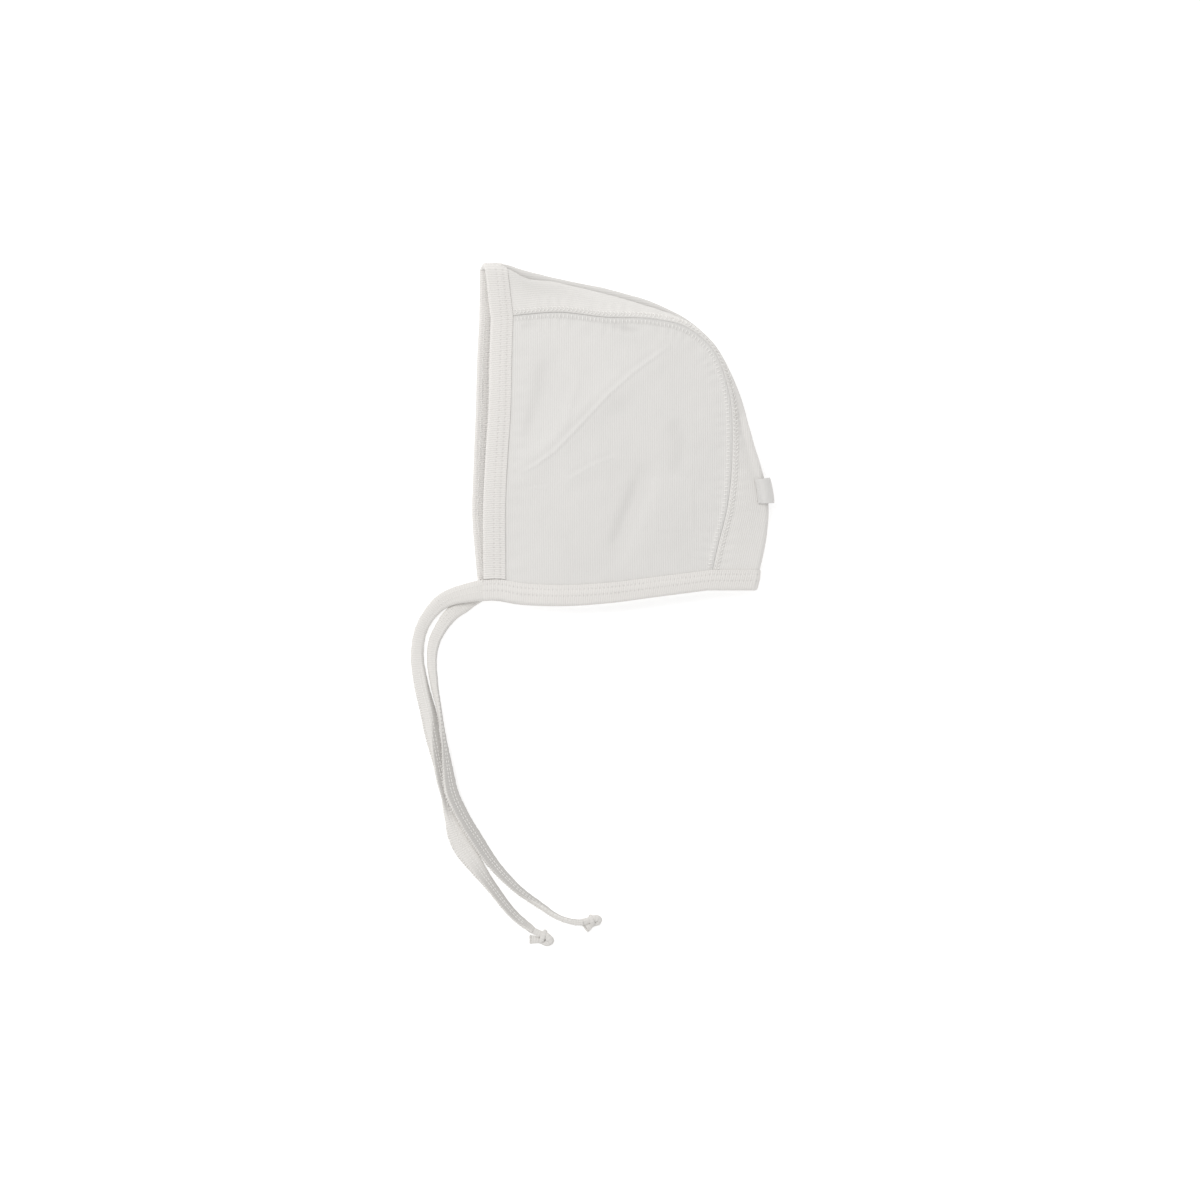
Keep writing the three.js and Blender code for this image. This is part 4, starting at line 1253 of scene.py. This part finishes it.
PANEL_CELLS = 206
LOWER_CELLS = 120
WELT_HIGH = 0.36 * MM
WELT_HALF = 3.2 * MM
LOWER_WELT_SHARE = 0.3
# The share of the seam's painted shade that is left down the back
BACK_SEAM_SHADE = 0.35
SEARCH_BATCH = 4000


def seam_distance(points, lower):
    """Each point's distance to the seam and the length along it"""
    shares = np.linspace(0, 1, 700)
    line = (lower_seam_point if lower else seam_point)(shares)
    flat = points.reshape(-1, 3)
    away = np.empty(len(flat))
    nearest = np.empty(len(flat), int)
    for start in range(0, len(flat), SEARCH_BATCH):
        part = flat[start:start + SEARCH_BATCH]
        distances = np.hypot(part[:, None, 0] - line[None, :, 0], part[:, None, 1] - line[None, :, 1])
        closest = np.argmin(distances, axis=1)
        nearest[start:start + SEARCH_BATCH] = closest
        away[start:start + SEARCH_BATCH] = distances[np.arange(len(part)), closest]
    return away.reshape(points.shape[:-1]), (shares[nearest] * seam.length).reshape(points.shape[:-1])


def welt_height(away, length):
    """The sewn ridge beside a seam: its groove, its dimples and the puckers beyond"""
    open_share = (smooth_share((length - FACE_BAND_WIDTH - 1 * MM) / (3 * MM))
                  * smooth_share((seam.length - length - NECK_BAND_WIDTH - 1 * MM) / (3 * MM)))
    body = WELT_HIGH * smooth_share((WELT_HALF - away) / (1.3 * MM))
    groove = -0.3 * MM * hill(away, 0.4 * MM)
    dimples = -0.08 * MM * hill(away - SEAM_ROW_OFF, 0.6 * MM) * np.cos(2 * np.pi * length / SEAM_PITCH)
    puckers = 0.14 * MM * hill(away - 5 * MM, 3.2 * MM) * np.sin(
        2 * np.pi * length / (6.5 * MM) + 2.2 * np.sin(2 * np.pi * length / (31 * MM)))
    return open_share * (body + groove + dimples + puckers)


def seam_painted_shade(away, length):
    """Painted shade: how much darker the cloth is made in the joint and between the stitches beside it"""
    ends = (smooth_share((length - FACE_BAND_WIDTH) / MM)
            * smooth_share((seam.length - length - NECK_BAND_WIDTH) / MM))
    on_crown = mix(BACK_SEAM_SHADE, 1, smooth_share((CROWN_RUN - length) / (30 * MM) + 0.5))
    return ends * on_crown * (0.14 * hill(away, 0.5 * MM) + 0.16 * smooth_share((WELT_HALF - away) / MM))


def panel_grid(lower, cells):
    """Where the panel's rows and columns lie, from inside its bands to its seam"""
    surface = lower_point if lower else upper_point
    share = np.linspace(0, 1, cells + 1)
    from_face = inset_rows(surface, share, EDGE_INSET, True)
    from_neck = inset_rows(surface, share, EDGE_INSET, False)
    b, a = np.meshgrid(share, share, indexing="ij")
    return mix(from_face[:, None], 1, a), mix(from_neck[None, :], 1, b)


def panel_piece(name, lower, cells):
    """A side panel; only the upper one has creases, ripples and the face binding's tug"""
    p, q = panel_grid(lower, cells)
    points = (lower_point if lower else upper_point)(p, q)
    x = points[..., 0].copy()
    y = points[..., 1].copy()
    away, length = seam_distance(points, lower)
    # Painted shade in the seam's joint and, on the upper panel, in the creases' valleys
    painted_shade = seam_painted_shade(away, length)
    if not lower:
        off_neck = smooth_share(q * BACK_RUN / (18 * MM))
        inside = smooth_share(p * CROWN_RUN / (20 * MM)) * off_neck
        inside = inside * smooth_share((away - 2 * MM) / (4.5 * MM))
        fine = crease_height(x, y) + imprint_height(x, y) + 0.3 * MM * ripple(x, y, 4, 34 * MM)
        fine = fine + 0.1 * MM * ripple(x, y, 9, 11 * MM)
        points[..., 2] += inside * fine
        painted_shade = painted_shade + inside * crease_painted_shade(x, y)
        face_away = p * CROWN_RUN - FACE_BAND_WIDTH
        pulls = np.sin(2 * np.pi * y / (7.3 * MM) + 3 * np.sin(y / (17 * MM)))
        tug = 0.12 * MM * hill(face_away - 3 * MM, 3.5 * MM) * pulls
        points[..., 2] += tug * smooth_share((away - 3 * MM) / (6 * MM)) * off_neck
    normals = grid_normals(points)
    faces_down = np.mean(normals[..., 2]) < 0
    if faces_down != lower:
        normals = -normals
    normals[-1, :] = seam_normal(BEND * p[-1, :], lower)
    normals[:, -1] = seam_normal(1 - (1 - BEND) * q[:, -1], lower)
    welt = welt_height(away, length) * (LOWER_WELT_SHARE if lower else 1)
    outer = points + normals * (SHEET_HALF + welt)[..., None]
    inner = points - normals * SHEET_HALF
    if lower:
        outer[..., 2] = np.maximum(outer[..., 2], FLOOR_CLEAR)
    uv = np.stack([x / MM + 0.15 * np.sin(y / (9 * MM)), y / MM], axis=-1)
    return cloth(name, outer, inner, uv, painted_shade)


def make_panels(scene):
    colour = tuple(scene.bonnet_colours.panel)
    material = knit_material("panel_knit_rib", colour, scene.bonnet_knit)
    jobs = (
        ("left_side_panel", False, PANEL_CELLS, "crown_gusset"),
        ("right_side_panel", True, LOWER_CELLS, "floor"),
    )
    for node, lower, cells, below in jobs:
        piece = finish(panel_piece(node + "_knit", lower, cells), material, "panel_knit", node)


# The gusset


GUSSET_ROWS = 420
GUSSET_COLUMNS = 104
END_SPAN = 0.2
# Painted shade on the gusset: a painted shadow along a line under the pleat's near fold, with its place and
# spread across, a fainter one on the far fold's strip, and a soft dip behind the face band
FOLD_PAINTED_SHADOW = 0.5
FOLD_PLACE = 0.55
FOLD_SPREAD = 0.04
FAR_FOLD_PAINTED_SHADE = 0.14
DIP_PAINTED_SHADE = 0.18


def gusset_piece(name):
    v = np.linspace(0, 1, GUSSET_COLUMNS + 1)
    t = np.linspace(0, END_SPAN, 60)
    first = END_SPAN * walk(gusset_point(t[None, :], v[:, None]), EDGE_INSET)
    last = END_SPAN * walk(gusset_point(1 - t[None, :], v[:, None]), EDGE_INSET)
    share = np.linspace(0, 1, GUSSET_ROWS + 1)
    s = mix(first[None, :], 1 - last[None, :], share[:, None])
    across = np.broadcast_to(v[None, :], s.shape)
    points = gusset_point(s, across, SEAM_GAP)
    arc = np.cumsum(np.linalg.norm(np.diff(points, axis=1, prepend=points[:, :1]), axis=2), axis=1)
    whole = arc[:, -1:]
    length = s * seam.length
    waves = 0.16 * MM * ripple(length, arc, 31, 13 * MM) + 0.2 * MM * ripple(length, arc * 0.4, 37, 30 * MM)
    from_ends = np.minimum(length, seam.length - length)
    ends = smooth_share((from_ends - 14 * MM) / (8 * MM))
    middle = smooth_share(arc / (9 * MM)) * smooth_share((whole - arc) / (9 * MM))
    normals = grid_normals(points)
    near_upper_seam = normals[len(normals) // 2, 4]
    if near_upper_seam[2] < 0:
        normals = -normals
    normals[:, 0] = seam_normal(s[:, 0], False)
    normals[:, -1] = seam_normal(s[:, -1], True)
    points = points + normals * (waves * ends * middle)[..., None]
    welt = welt_height(arc, length) + LOWER_WELT_SHARE * welt_height(whole - arc, length)
    outer = points + normals * (SHEET_HALF + welt)[..., None]
    inner = points - normals * SHEET_HALF
    outer[..., 2] = np.maximum(outer[..., 2], FLOOR_CLEAR)
    inner[..., 2] = np.maximum(inner[..., 2], 2 * FLOOR_CLEAR)
    uv = np.stack([arc / MM, length / MM], axis=-1)
    # Painted shade in both seams' joints, a painted shadow under the near fold, and painted shade on the far
    # fold and in a soft dip
    painted_shade = seam_painted_shade(arc, length) + seam_painted_shade(whole - arc, length)
    far_fold_shade = smooth_share((across - 0.5) / 0.04) * smooth_share((0.74 - across) / 0.06)
    line = hill(across - FOLD_PLACE, FOLD_SPREAD)
    painted_shade = painted_shade + DIP_PAINTED_SHADE * hill(length - 24 * MM, 18 * MM) * hill(across - 0.25, 0.1)
    painted_shade = painted_shade + pleat_share(s) * (FOLD_PAINTED_SHADOW * line + FAR_FOLD_PAINTED_SHADE * far_fold_shade)
    return cloth(name, outer, inner, uv, painted_shade)


def make_gusset(scene):
    material = knit_material("gusset_knit_rib", tuple(scene.bonnet_colours.gusset), scene.bonnet_knit)
    piece = finish(gusset_piece("crown_gusset_knit"), material, "gusset_knit", "crown_gusset")


# The bands


BAND_DEPTHS = 16
BAND_REACH = 4
FRONT_SHARE = 0.08
PANEL_STATIONS = 400
FOLD_STATIONS = 200


class Band:
    """The folded binding along one edge: its lines run inwards from the folded edge"""

    def __init__(self, width, lines):
        self.width = width
        self.depths = np.linspace(0, width, BAND_DEPTHS)
        self.at = np.concatenate([line[0] for line in lines])
        out = np.concatenate([line[1] for line in lines])
        padded = np.pad(out, ((BAND_REACH, BAND_REACH), (0, 0), (0, 0)), mode="edge")
        window = hill(np.arange(-BAND_REACH, BAND_REACH + 1), BAND_REACH / 1.6)
        self.out = unit(sum(w * padded[k:k + len(out)] for k, w in enumerate(window)))
        steps = np.linalg.norm(np.diff(self.at[:, BAND_DEPTHS // 2], axis=0), axis=1)
        self.lengths = np.concatenate([[0], np.cumsum(steps)])
        self.length = self.lengths[-1]

    def place(self, length, depth, height):
        """A point at a length along the band, a depth in from its edge and a height out"""
        length, depth, height = np.broadcast_arrays(length, depth, height)
        row = np.clip(np.searchsorted(self.lengths, length) - 1, 0, len(self.lengths) - 2)
        u = ((length - self.lengths[row]) / (self.lengths[row + 1] - self.lengths[row]))[..., None]
        column = np.clip(depth / self.width, 0, 1) * (BAND_DEPTHS - 1)
        k = np.minimum(column.astype(int), BAND_DEPTHS - 2)
        w = (column - k)[..., None]

        def pick(grid):
            low = grid[row, k] * (1 - w) + grid[row, k + 1] * w
            high = grid[row + 1, k] * (1 - w) + grid[row + 1, k + 1] * w
            return low * (1 - u) + high * u

        out = unit(pick(self.out))
        return pick(self.at) + out * height[..., None], out


def panel_lines(lower, towards_neck, width, start):
    """A band's lines over a side panel, from its front end to the seam"""
    surface = lower_point if lower else upper_point
    sign = -1 if lower else 1
    depths = np.linspace(0, width, BAND_DEPTHS)
    share = np.linspace(0, 1, PANEL_STATIONS, endpoint=False)
    at, out = [], []
    for depth in depths:
        if towards_neck:
            p = share
            q = inset_rows(surface, p, depth, False)
        else:
            p_start = inset_rows(surface, np.array([FRONT_SHARE]), depth, True)
            q_start = inset_rows(surface, p_start, start, False)[0]
            q = mix(q_start, 1, share)
            p = inset_rows(surface, q, depth, True)
        at.append(surface(p, q))
        out.append(facing(surface, p, q, sign))
    at = np.stack(at, axis=1)
    out = np.stack(out, axis=1)
    return (at[::-1], out[::-1]) if lower else (at, out)


def fold_lines(at_neck, width):
    """A band's lines round the gusset's end"""
    depths = np.linspace(0, width, BAND_DEPTHS)
    fine = np.linspace(0, 1, 600)
    edge = gusset_point(np.full(600, 0.999 if at_neck else 0.001), fine)
    arc = np.concatenate([[0], np.cumsum(np.linalg.norm(np.diff(edge, axis=0), axis=1))])
    v = np.interp(np.linspace(0, arc[-1], FOLD_STATIONS + 1), arc, fine)
    t = np.linspace(0, END_SPAN, 60)
    place = (1 - t) if at_neck else t
    lines = gusset_point(place[None, :], v[:, None])
    at, out = [], []
    for depth in depths:
        s = END_SPAN * walk(lines, depth)
        s = 1 - s if at_neck else s
        at.append(gusset_point(s, v))
        normal = facing(gusset_point, s, v, 1)
        normal[0] = seam_normal(s[:1], False)[0]
        normal[-1] = seam_normal(s[-1:], True)[0]
        out.append(normal)
    return np.stack(at, axis=1), np.stack(out, axis=1)


def make_band_shape(at_neck):
    width = NECK_BAND_WIDTH if at_neck else FACE_BAND_WIDTH
    start = NECK_BAND_WIDTH + PIECE_GAP
    return Band(width, [
        panel_lines(False, at_neck, width, start), fold_lines(at_neck, width),
        panel_lines(True, at_neck, width, start),
    ])


def band_contour(width):
    """The binding's section: depth in from the fold, height out, and which side it is"""
    flat = np.linspace(width, LEAF_OUTSIDE, 32)
    turn = np.linspace(math.pi / 2, -math.pi / 2, 13)[1:-1]
    inner = np.linspace(width - 0.2 * MM, CLOTH_THICK + 0.3 * MM, 5)

    def outer_height(depth):
        rounding = np.clip((width - depth) / (0.5 * MM), 0, 1)
        edge = mix(-0.1, 0, np.sqrt(1 - (1 - rounding) ** 2))
        slope = mix(0.6, 1.0, smooth_share((width - depth) / (5 * MM)))
        return LEAF_OUTSIDE * (slope + edge)

    fold_in = LEAF_OUTSIDE * (1 - np.cos(turn))
    fold_out = LEAF_OUTSIDE * np.sin(turn)
    gap = mix(0.5 * MM, LEAF_INSIDE, smooth_share((width - inner) / (5 * MM)))
    depth = np.concatenate([flat, fold_in, flat[::-1], inner, inner[::-1]])
    height = np.concatenate([outer_height(flat), fold_out, -outer_height(flat[::-1]), -gap, gap[::-1]])
    sewn_side = np.concatenate([np.ones(32), np.zeros(11), -np.ones(32), np.zeros(10)])
    return depth, height, sewn_side


def band_piece(name, band):
    depth, height, sewn_side = band_contour(band.width)
    lengths = band.lengths[:, None]
    stitch = (0.5 + 0.5 * np.cos(2 * np.pi * lengths / NEEDLE_PITCH)) ** 2
    sewn = sum(hill(depth - (band.width - row), 0.4 * MM) for row in NEEDLE_ROWS)
    relief = -0.3 * MM * stitch * sewn[None, :] * sewn_side[None, :]
    soft = 0.1 * MM * ripple(lengths, depth[None, :], 51, 16 * MM) * sewn_side[None, :]
    points, _ = band.place(lengths, depth[None, :], height[None, :] + relief + soft)
    points[..., 2] = np.maximum(points[..., 2], BAND_CLEAR)
    around = np.concatenate([[0], np.cumsum(np.hypot(np.diff(depth), np.diff(height)))]) / MM
    uv = np.stack(np.broadcast_arrays(lengths / MM, around[None, :]), axis=-1)
    # Painted shade in the needle stitches' dimples, stronger in some places along the band
    dimple_shade = 0.26 + 0.2 * ripple(lengths, 0 * lengths, 57, 45 * MM)
    return swept(name, points, uv, dimple_shade * stitch * sewn[None, :] * np.abs(sewn_side)[None, :])


def band_sewing(name, band, seed):
    """Needle rows outside and the covering thread inside"""
    starts, ends, ups = [], [], []

    def add(a, b):
        starts.append(a[0])
        ends.append(b[0])
        ups.append(a[1])

    lengths = np.arange(NEEDLE_PITCH, band.length - 2.5 * MM, NEEDLE_PITCH)
    for row in NEEDLE_ROWS:
        depth = band.width - row
        outside = LEAF_OUTSIDE * mix(0.6, 1.0, smooth_share(row / (5 * MM))) - 0.28 * MM
        add(
            band.place(lengths + 0.2 * NEEDLE_PITCH, depth, outside),
            band.place(lengths + 0.8 * NEEDLE_PITCH, depth, outside),
        )
    inside = -LEAF_OUTSIDE + 0.02 * MM
    draw = np.random.default_rng(seed)
    near, far = INNER_ROWS
    half = NEEDLE_PITCH / 3
    lengths = np.arange(NEEDLE_PITCH, band.length - 2.5 * MM, 2 * half)
    jitter = draw.uniform(-0.2, 0.2, len(lengths)) * MM
    first = band.place(lengths, near + jitter, inside)
    second = band.place(lengths + half, far + jitter, inside)
    third = band.place(lengths + 2 * half, near + jitter, inside)
    for a, b in ((first, second), (second, third)):
        starts.append(a[0])
        ends.append(b[0])
        ups.append(-a[1])
    return stitches(name, np.concatenate(starts), np.concatenate(ends), np.concatenate(ups), 0.15 * MM, 0.5)


def make_bands(scene):
    # The bindings' ribs get more relief and deeper painted shade in their grooves
    material = knit_material("band_knit_rib", tuple(scene.bonnet_colours.band), scene.bonnet_knit, 1.4, 0.32)
    thread = thread_finish(scene)
    for node, at_neck, seed in (("face_band", False, 3), ("neck_band", True, 8)):
        band = make_band_shape(at_neck)
        piece = finish(band_piece(node + "_knit", band), material, "band_knit", node)
        finish(band_sewing(node + "_stitches", band, seed), thread, "band_knit")


# The seams' threads, laid on the finished cloth


def tree_of(*names):
    points, faces = [], []
    for name in names:
        mesh = bpy.data.objects[name].data
        base = len(points)
        points.extend(v.co.copy() for v in mesh.vertices)
        faces.extend([v + base for v in polygon.vertices] for polygon in mesh.polygons)
    return BVHTree.FromPolygons(points, faces)


def dropped(tree, x, y, lower):
    """Points of the cloth under or over given places, with its normals"""
    start = -0.05 if lower else 0.08
    way = Vector((0, 0, 1 if lower else -1))
    places, normals = [], []
    for a, b in zip(x, y):
        hit, normal, _, _ = tree.ray_cast(Vector((a, b, start)), way)
        if hit is None:
            places.append((math.nan,) * 3)
            normals.append((0, 0, 1))
        else:
            places.append(tuple(hit))
            normals.append(tuple(normal))
    return np.array(places), np.array(normals)


def seam_sewing(name, tree, lower):
    margin = 1.2 * MM
    lengths = np.arange(FACE_BAND_WIDTH + margin, seam.length - NECK_BAND_WIDTH - margin, SEAM_PITCH)

    def at(length, off):
        share = length / seam.length
        point = (lower_seam_point if lower else seam_point)(share)
        ahead = (lower_seam_point if lower else seam_point)(np.minimum(share + FINE_STEP, 1))
        way = unit(ahead[:, :2] - point[:, :2])
        x = point[:, 0] - way[:, 1] * off
        y = point[:, 1] + way[:, 0] * off
        place, normal = dropped(tree, x, y, lower)
        return place + normal * 0.06 * MM, normal

    draw = np.random.default_rng(17 if lower else 5)
    jitter = draw.uniform(-0.12, 0.12, len(lengths)) * MM
    starts, ends, ups = [], [], []
    for begin, begin_off, finish_share, finish_off in SEAM_STITCHES:
        a, up = at(lengths + begin * SEAM_PITCH + jitter, begin_off)
        b, _ = at(lengths + finish_share * SEAM_PITCH + jitter, finish_off)
        starts.append(a)
        ends.append(b)
        ups.append(up)
    starts, ends, ups = (np.concatenate(part) for part in (starts, ends, ups))
    near = np.linalg.norm(ends - starts, axis=1) < 2.6 * SEAM_PITCH
    sound = near & np.isfinite(starts).all(axis=1) & np.isfinite(ends).all(axis=1)
    radius = THREAD_RADIUS * (0.9 if lower else 1.65)
    return stitches(name, starts[sound], ends[sound], ups[sound], radius, 0.7)


def make_seams(scene):
    thread = thread_finish(scene)
    upper = tree_of("left_side_panel_knit", "crown_gusset_knit")
    finish(seam_sewing("upper_seam_stitches", upper, False), thread, "gusset_knit")
    lower = tree_of("right_side_panel_knit", "crown_gusset_knit")
    finish(seam_sewing("lower_seam_stitches", lower, True), thread, "gusset_knit")


# The label


LABEL_COLUMNS = 26
LABEL_ROWS = 60


def make_label(scene):
    level = (LABEL_PLACE - 0.5) * BONNET_HEIGHT
    shares = np.linspace(BEND, 1, 600)
    heights = seam.at("y", shares)
    across = np.linspace(0, 1, LABEL_COLUMNS + 1)
    s = np.interp(-(level + LABEL_WIDTH * (0.5 - across)), -heights, shares)
    fine = np.linspace(0, 1, 200)
    over = walk(gusset_point(s[:, None], 0.5 - 0.5 * fine[None, :]), LABEL_REACH) * 0.5
    under = walk(gusset_point(s[:, None], 0.5 + 0.5 * fine[None, :]), LABEL_REACH) * 0.5
    t = np.linspace(0, 1, LABEL_ROWS + 1)
    v = mix(0.5 - over[:, None], 0.5 + under[:, None], t[None, :])
    grid_s = np.broadcast_to(s[:, None], v.shape)
    normal = facing(gusset_point, grid_s, v, 1)
    stand = LEAF_INSIDE + LABEL_THICK / 2 + LABEL_STAND * np.sin(np.pi * t) ** 2
    points = gusset_point(grid_s, v) + normal * stand[None, :, None]
    points[..., 2] += 0.12 * MM * np.sin(3 * across[:, None]) * np.sin(np.pi * t)[None, :]
    out = grid_normals(points)
    if np.sum(out * normal) < 0:
        out = -out
    edge = 1 - 0.35 * (hill(across, 0.06) + hill(1 - across, 0.06))
    thick = (LABEL_THICK / 2 * edge)[:, None, None]
    arc = np.cumsum(np.linalg.norm(np.diff(points, axis=1, prepend=points[:, :1]), axis=2), axis=1)
    uv = np.stack(np.broadcast_arrays(across[:, None] * LABEL_WIDTH / MM, arc / MM), axis=-1)
    tab = cloth("back_label_weave", points + out * thick, points - out * thick, uv)
    finish(tab, label_material(tuple(scene.bonnet_colours.label)), "label_weave", "back_label")

    places = np.linspace(0.08, 0.92, 9)
    from_column = np.interp(places, across, np.arange(LABEL_COLUMNS + 1)).astype(int)
    to_column = np.minimum(from_column + 2, LABEL_COLUMNS)
    surface = points + out * LABEL_THICK * 0.5
    threads = []
    for k in (2, LABEL_ROWS - 2):
        threads.append((surface[from_column, k], surface[to_column, k], out[from_column, k]))
    starts, ends, ups = (np.concatenate(part) for part in zip(*threads))
    sewing = stitches("back_label_stitches", starts, ends, ups, 0.11 * MM, 0.7)
    finish(sewing, thread_finish(scene), "label_weave")


# The add-on's buttons


class BONNET_OT_stage(bpy.types.Operator):
    """Add the floor, the light and the camera"""

    bl_idname = "bonnet.stage"
    bl_label = "Add Stage"

    def execute(self, context):
        make_stage(context.scene)
        return {"FINISHED"}


class BONNET_OT_ties(bpy.types.Operator):
    """Add the two ties with their knots and stitches"""

    bl_idname = "bonnet.ties"
    bl_label = "Add Ties"

    def execute(self, context):
        make_ties(context.scene)
        return {"FINISHED"}


class BONNET_OT_panels(bpy.types.Operator):
    """Add the two side panels"""

    bl_idname = "bonnet.panels"
    bl_label = "Add Side Panels"

    def execute(self, context):
        make_panels(context.scene)
        return {"FINISHED"}


class BONNET_OT_gusset(bpy.types.Operator):
    """Add the gusset over the crown and down the back"""

    bl_idname = "bonnet.gusset"
    bl_label = "Add Gusset"

    def execute(self, context):
        make_gusset(context.scene)
        return {"FINISHED"}


class BONNET_OT_bands(bpy.types.Operator):
    """Add the bindings of the face and neck edges"""

    bl_idname = "bonnet.bands"
    bl_label = "Add Bindings"

    def execute(self, context):
        make_bands(context.scene)
        return {"FINISHED"}


class BONNET_OT_seams(bpy.types.Operator):
    """Sew the panels to the gusset"""

    bl_idname = "bonnet.seams"
    bl_label = "Add Seam Threads"

    def execute(self, context):
        make_seams(context.scene)
        return {"FINISHED"}


class BONNET_OT_label(bpy.types.Operator):
    """Add the bare woven tab at the back"""

    bl_idname = "bonnet.label"
    bl_label = "Add Label"

    def execute(self, context):
        make_label(context.scene)
        return {"FINISHED"}


STEPS = ("stage", "ties", "panels", "gusset", "bands", "seams", "label")


class BONNET_PT_panel(bpy.types.Panel):
    """The bonnet's settings and steps"""

    bl_idname = "BONNET_PT_panel"
    bl_label = "Bonnet"
    bl_space_type = "VIEW_3D"
    bl_region_type = "UI"
    bl_category = "Bonnet"

    def draw(self, context):
        scene = context.scene
        for group in (scene.bonnet_knit, scene.bonnet_colours, scene.bonnet_studio):
            for name in group.__annotations__:
                self.layout.prop(group, name)
        for step in STEPS:
            self.layout.operator("bonnet." + step)


CLASSES = (
    BonnetKnit, BonnetColours, BonnetStudio, BONNET_OT_stage, BONNET_OT_ties, BONNET_OT_panels,
    BONNET_OT_gusset, BONNET_OT_bands, BONNET_OT_seams, BONNET_OT_label, BONNET_PT_panel,
)


def register():
    for item in CLASSES:
        bpy.utils.register_class(item)
    bpy.types.Scene.bonnet_knit = bpy.props.PointerProperty(type=BonnetKnit)
    bpy.types.Scene.bonnet_colours = bpy.props.PointerProperty(type=BonnetColours)
    bpy.types.Scene.bonnet_studio = bpy.props.PointerProperty(type=BonnetStudio)


def unregister():
    del bpy.types.Scene.bonnet_studio
    del bpy.types.Scene.bonnet_colours
    del bpy.types.Scene.bonnet_knit
    for item in reversed(CLASSES):
        bpy.utils.unregister_class(item)


def main():
    register()
    for step in STEPS:
        getattr(bpy.ops.bonnet, step)()


if __name__ == "__main__":
    main()
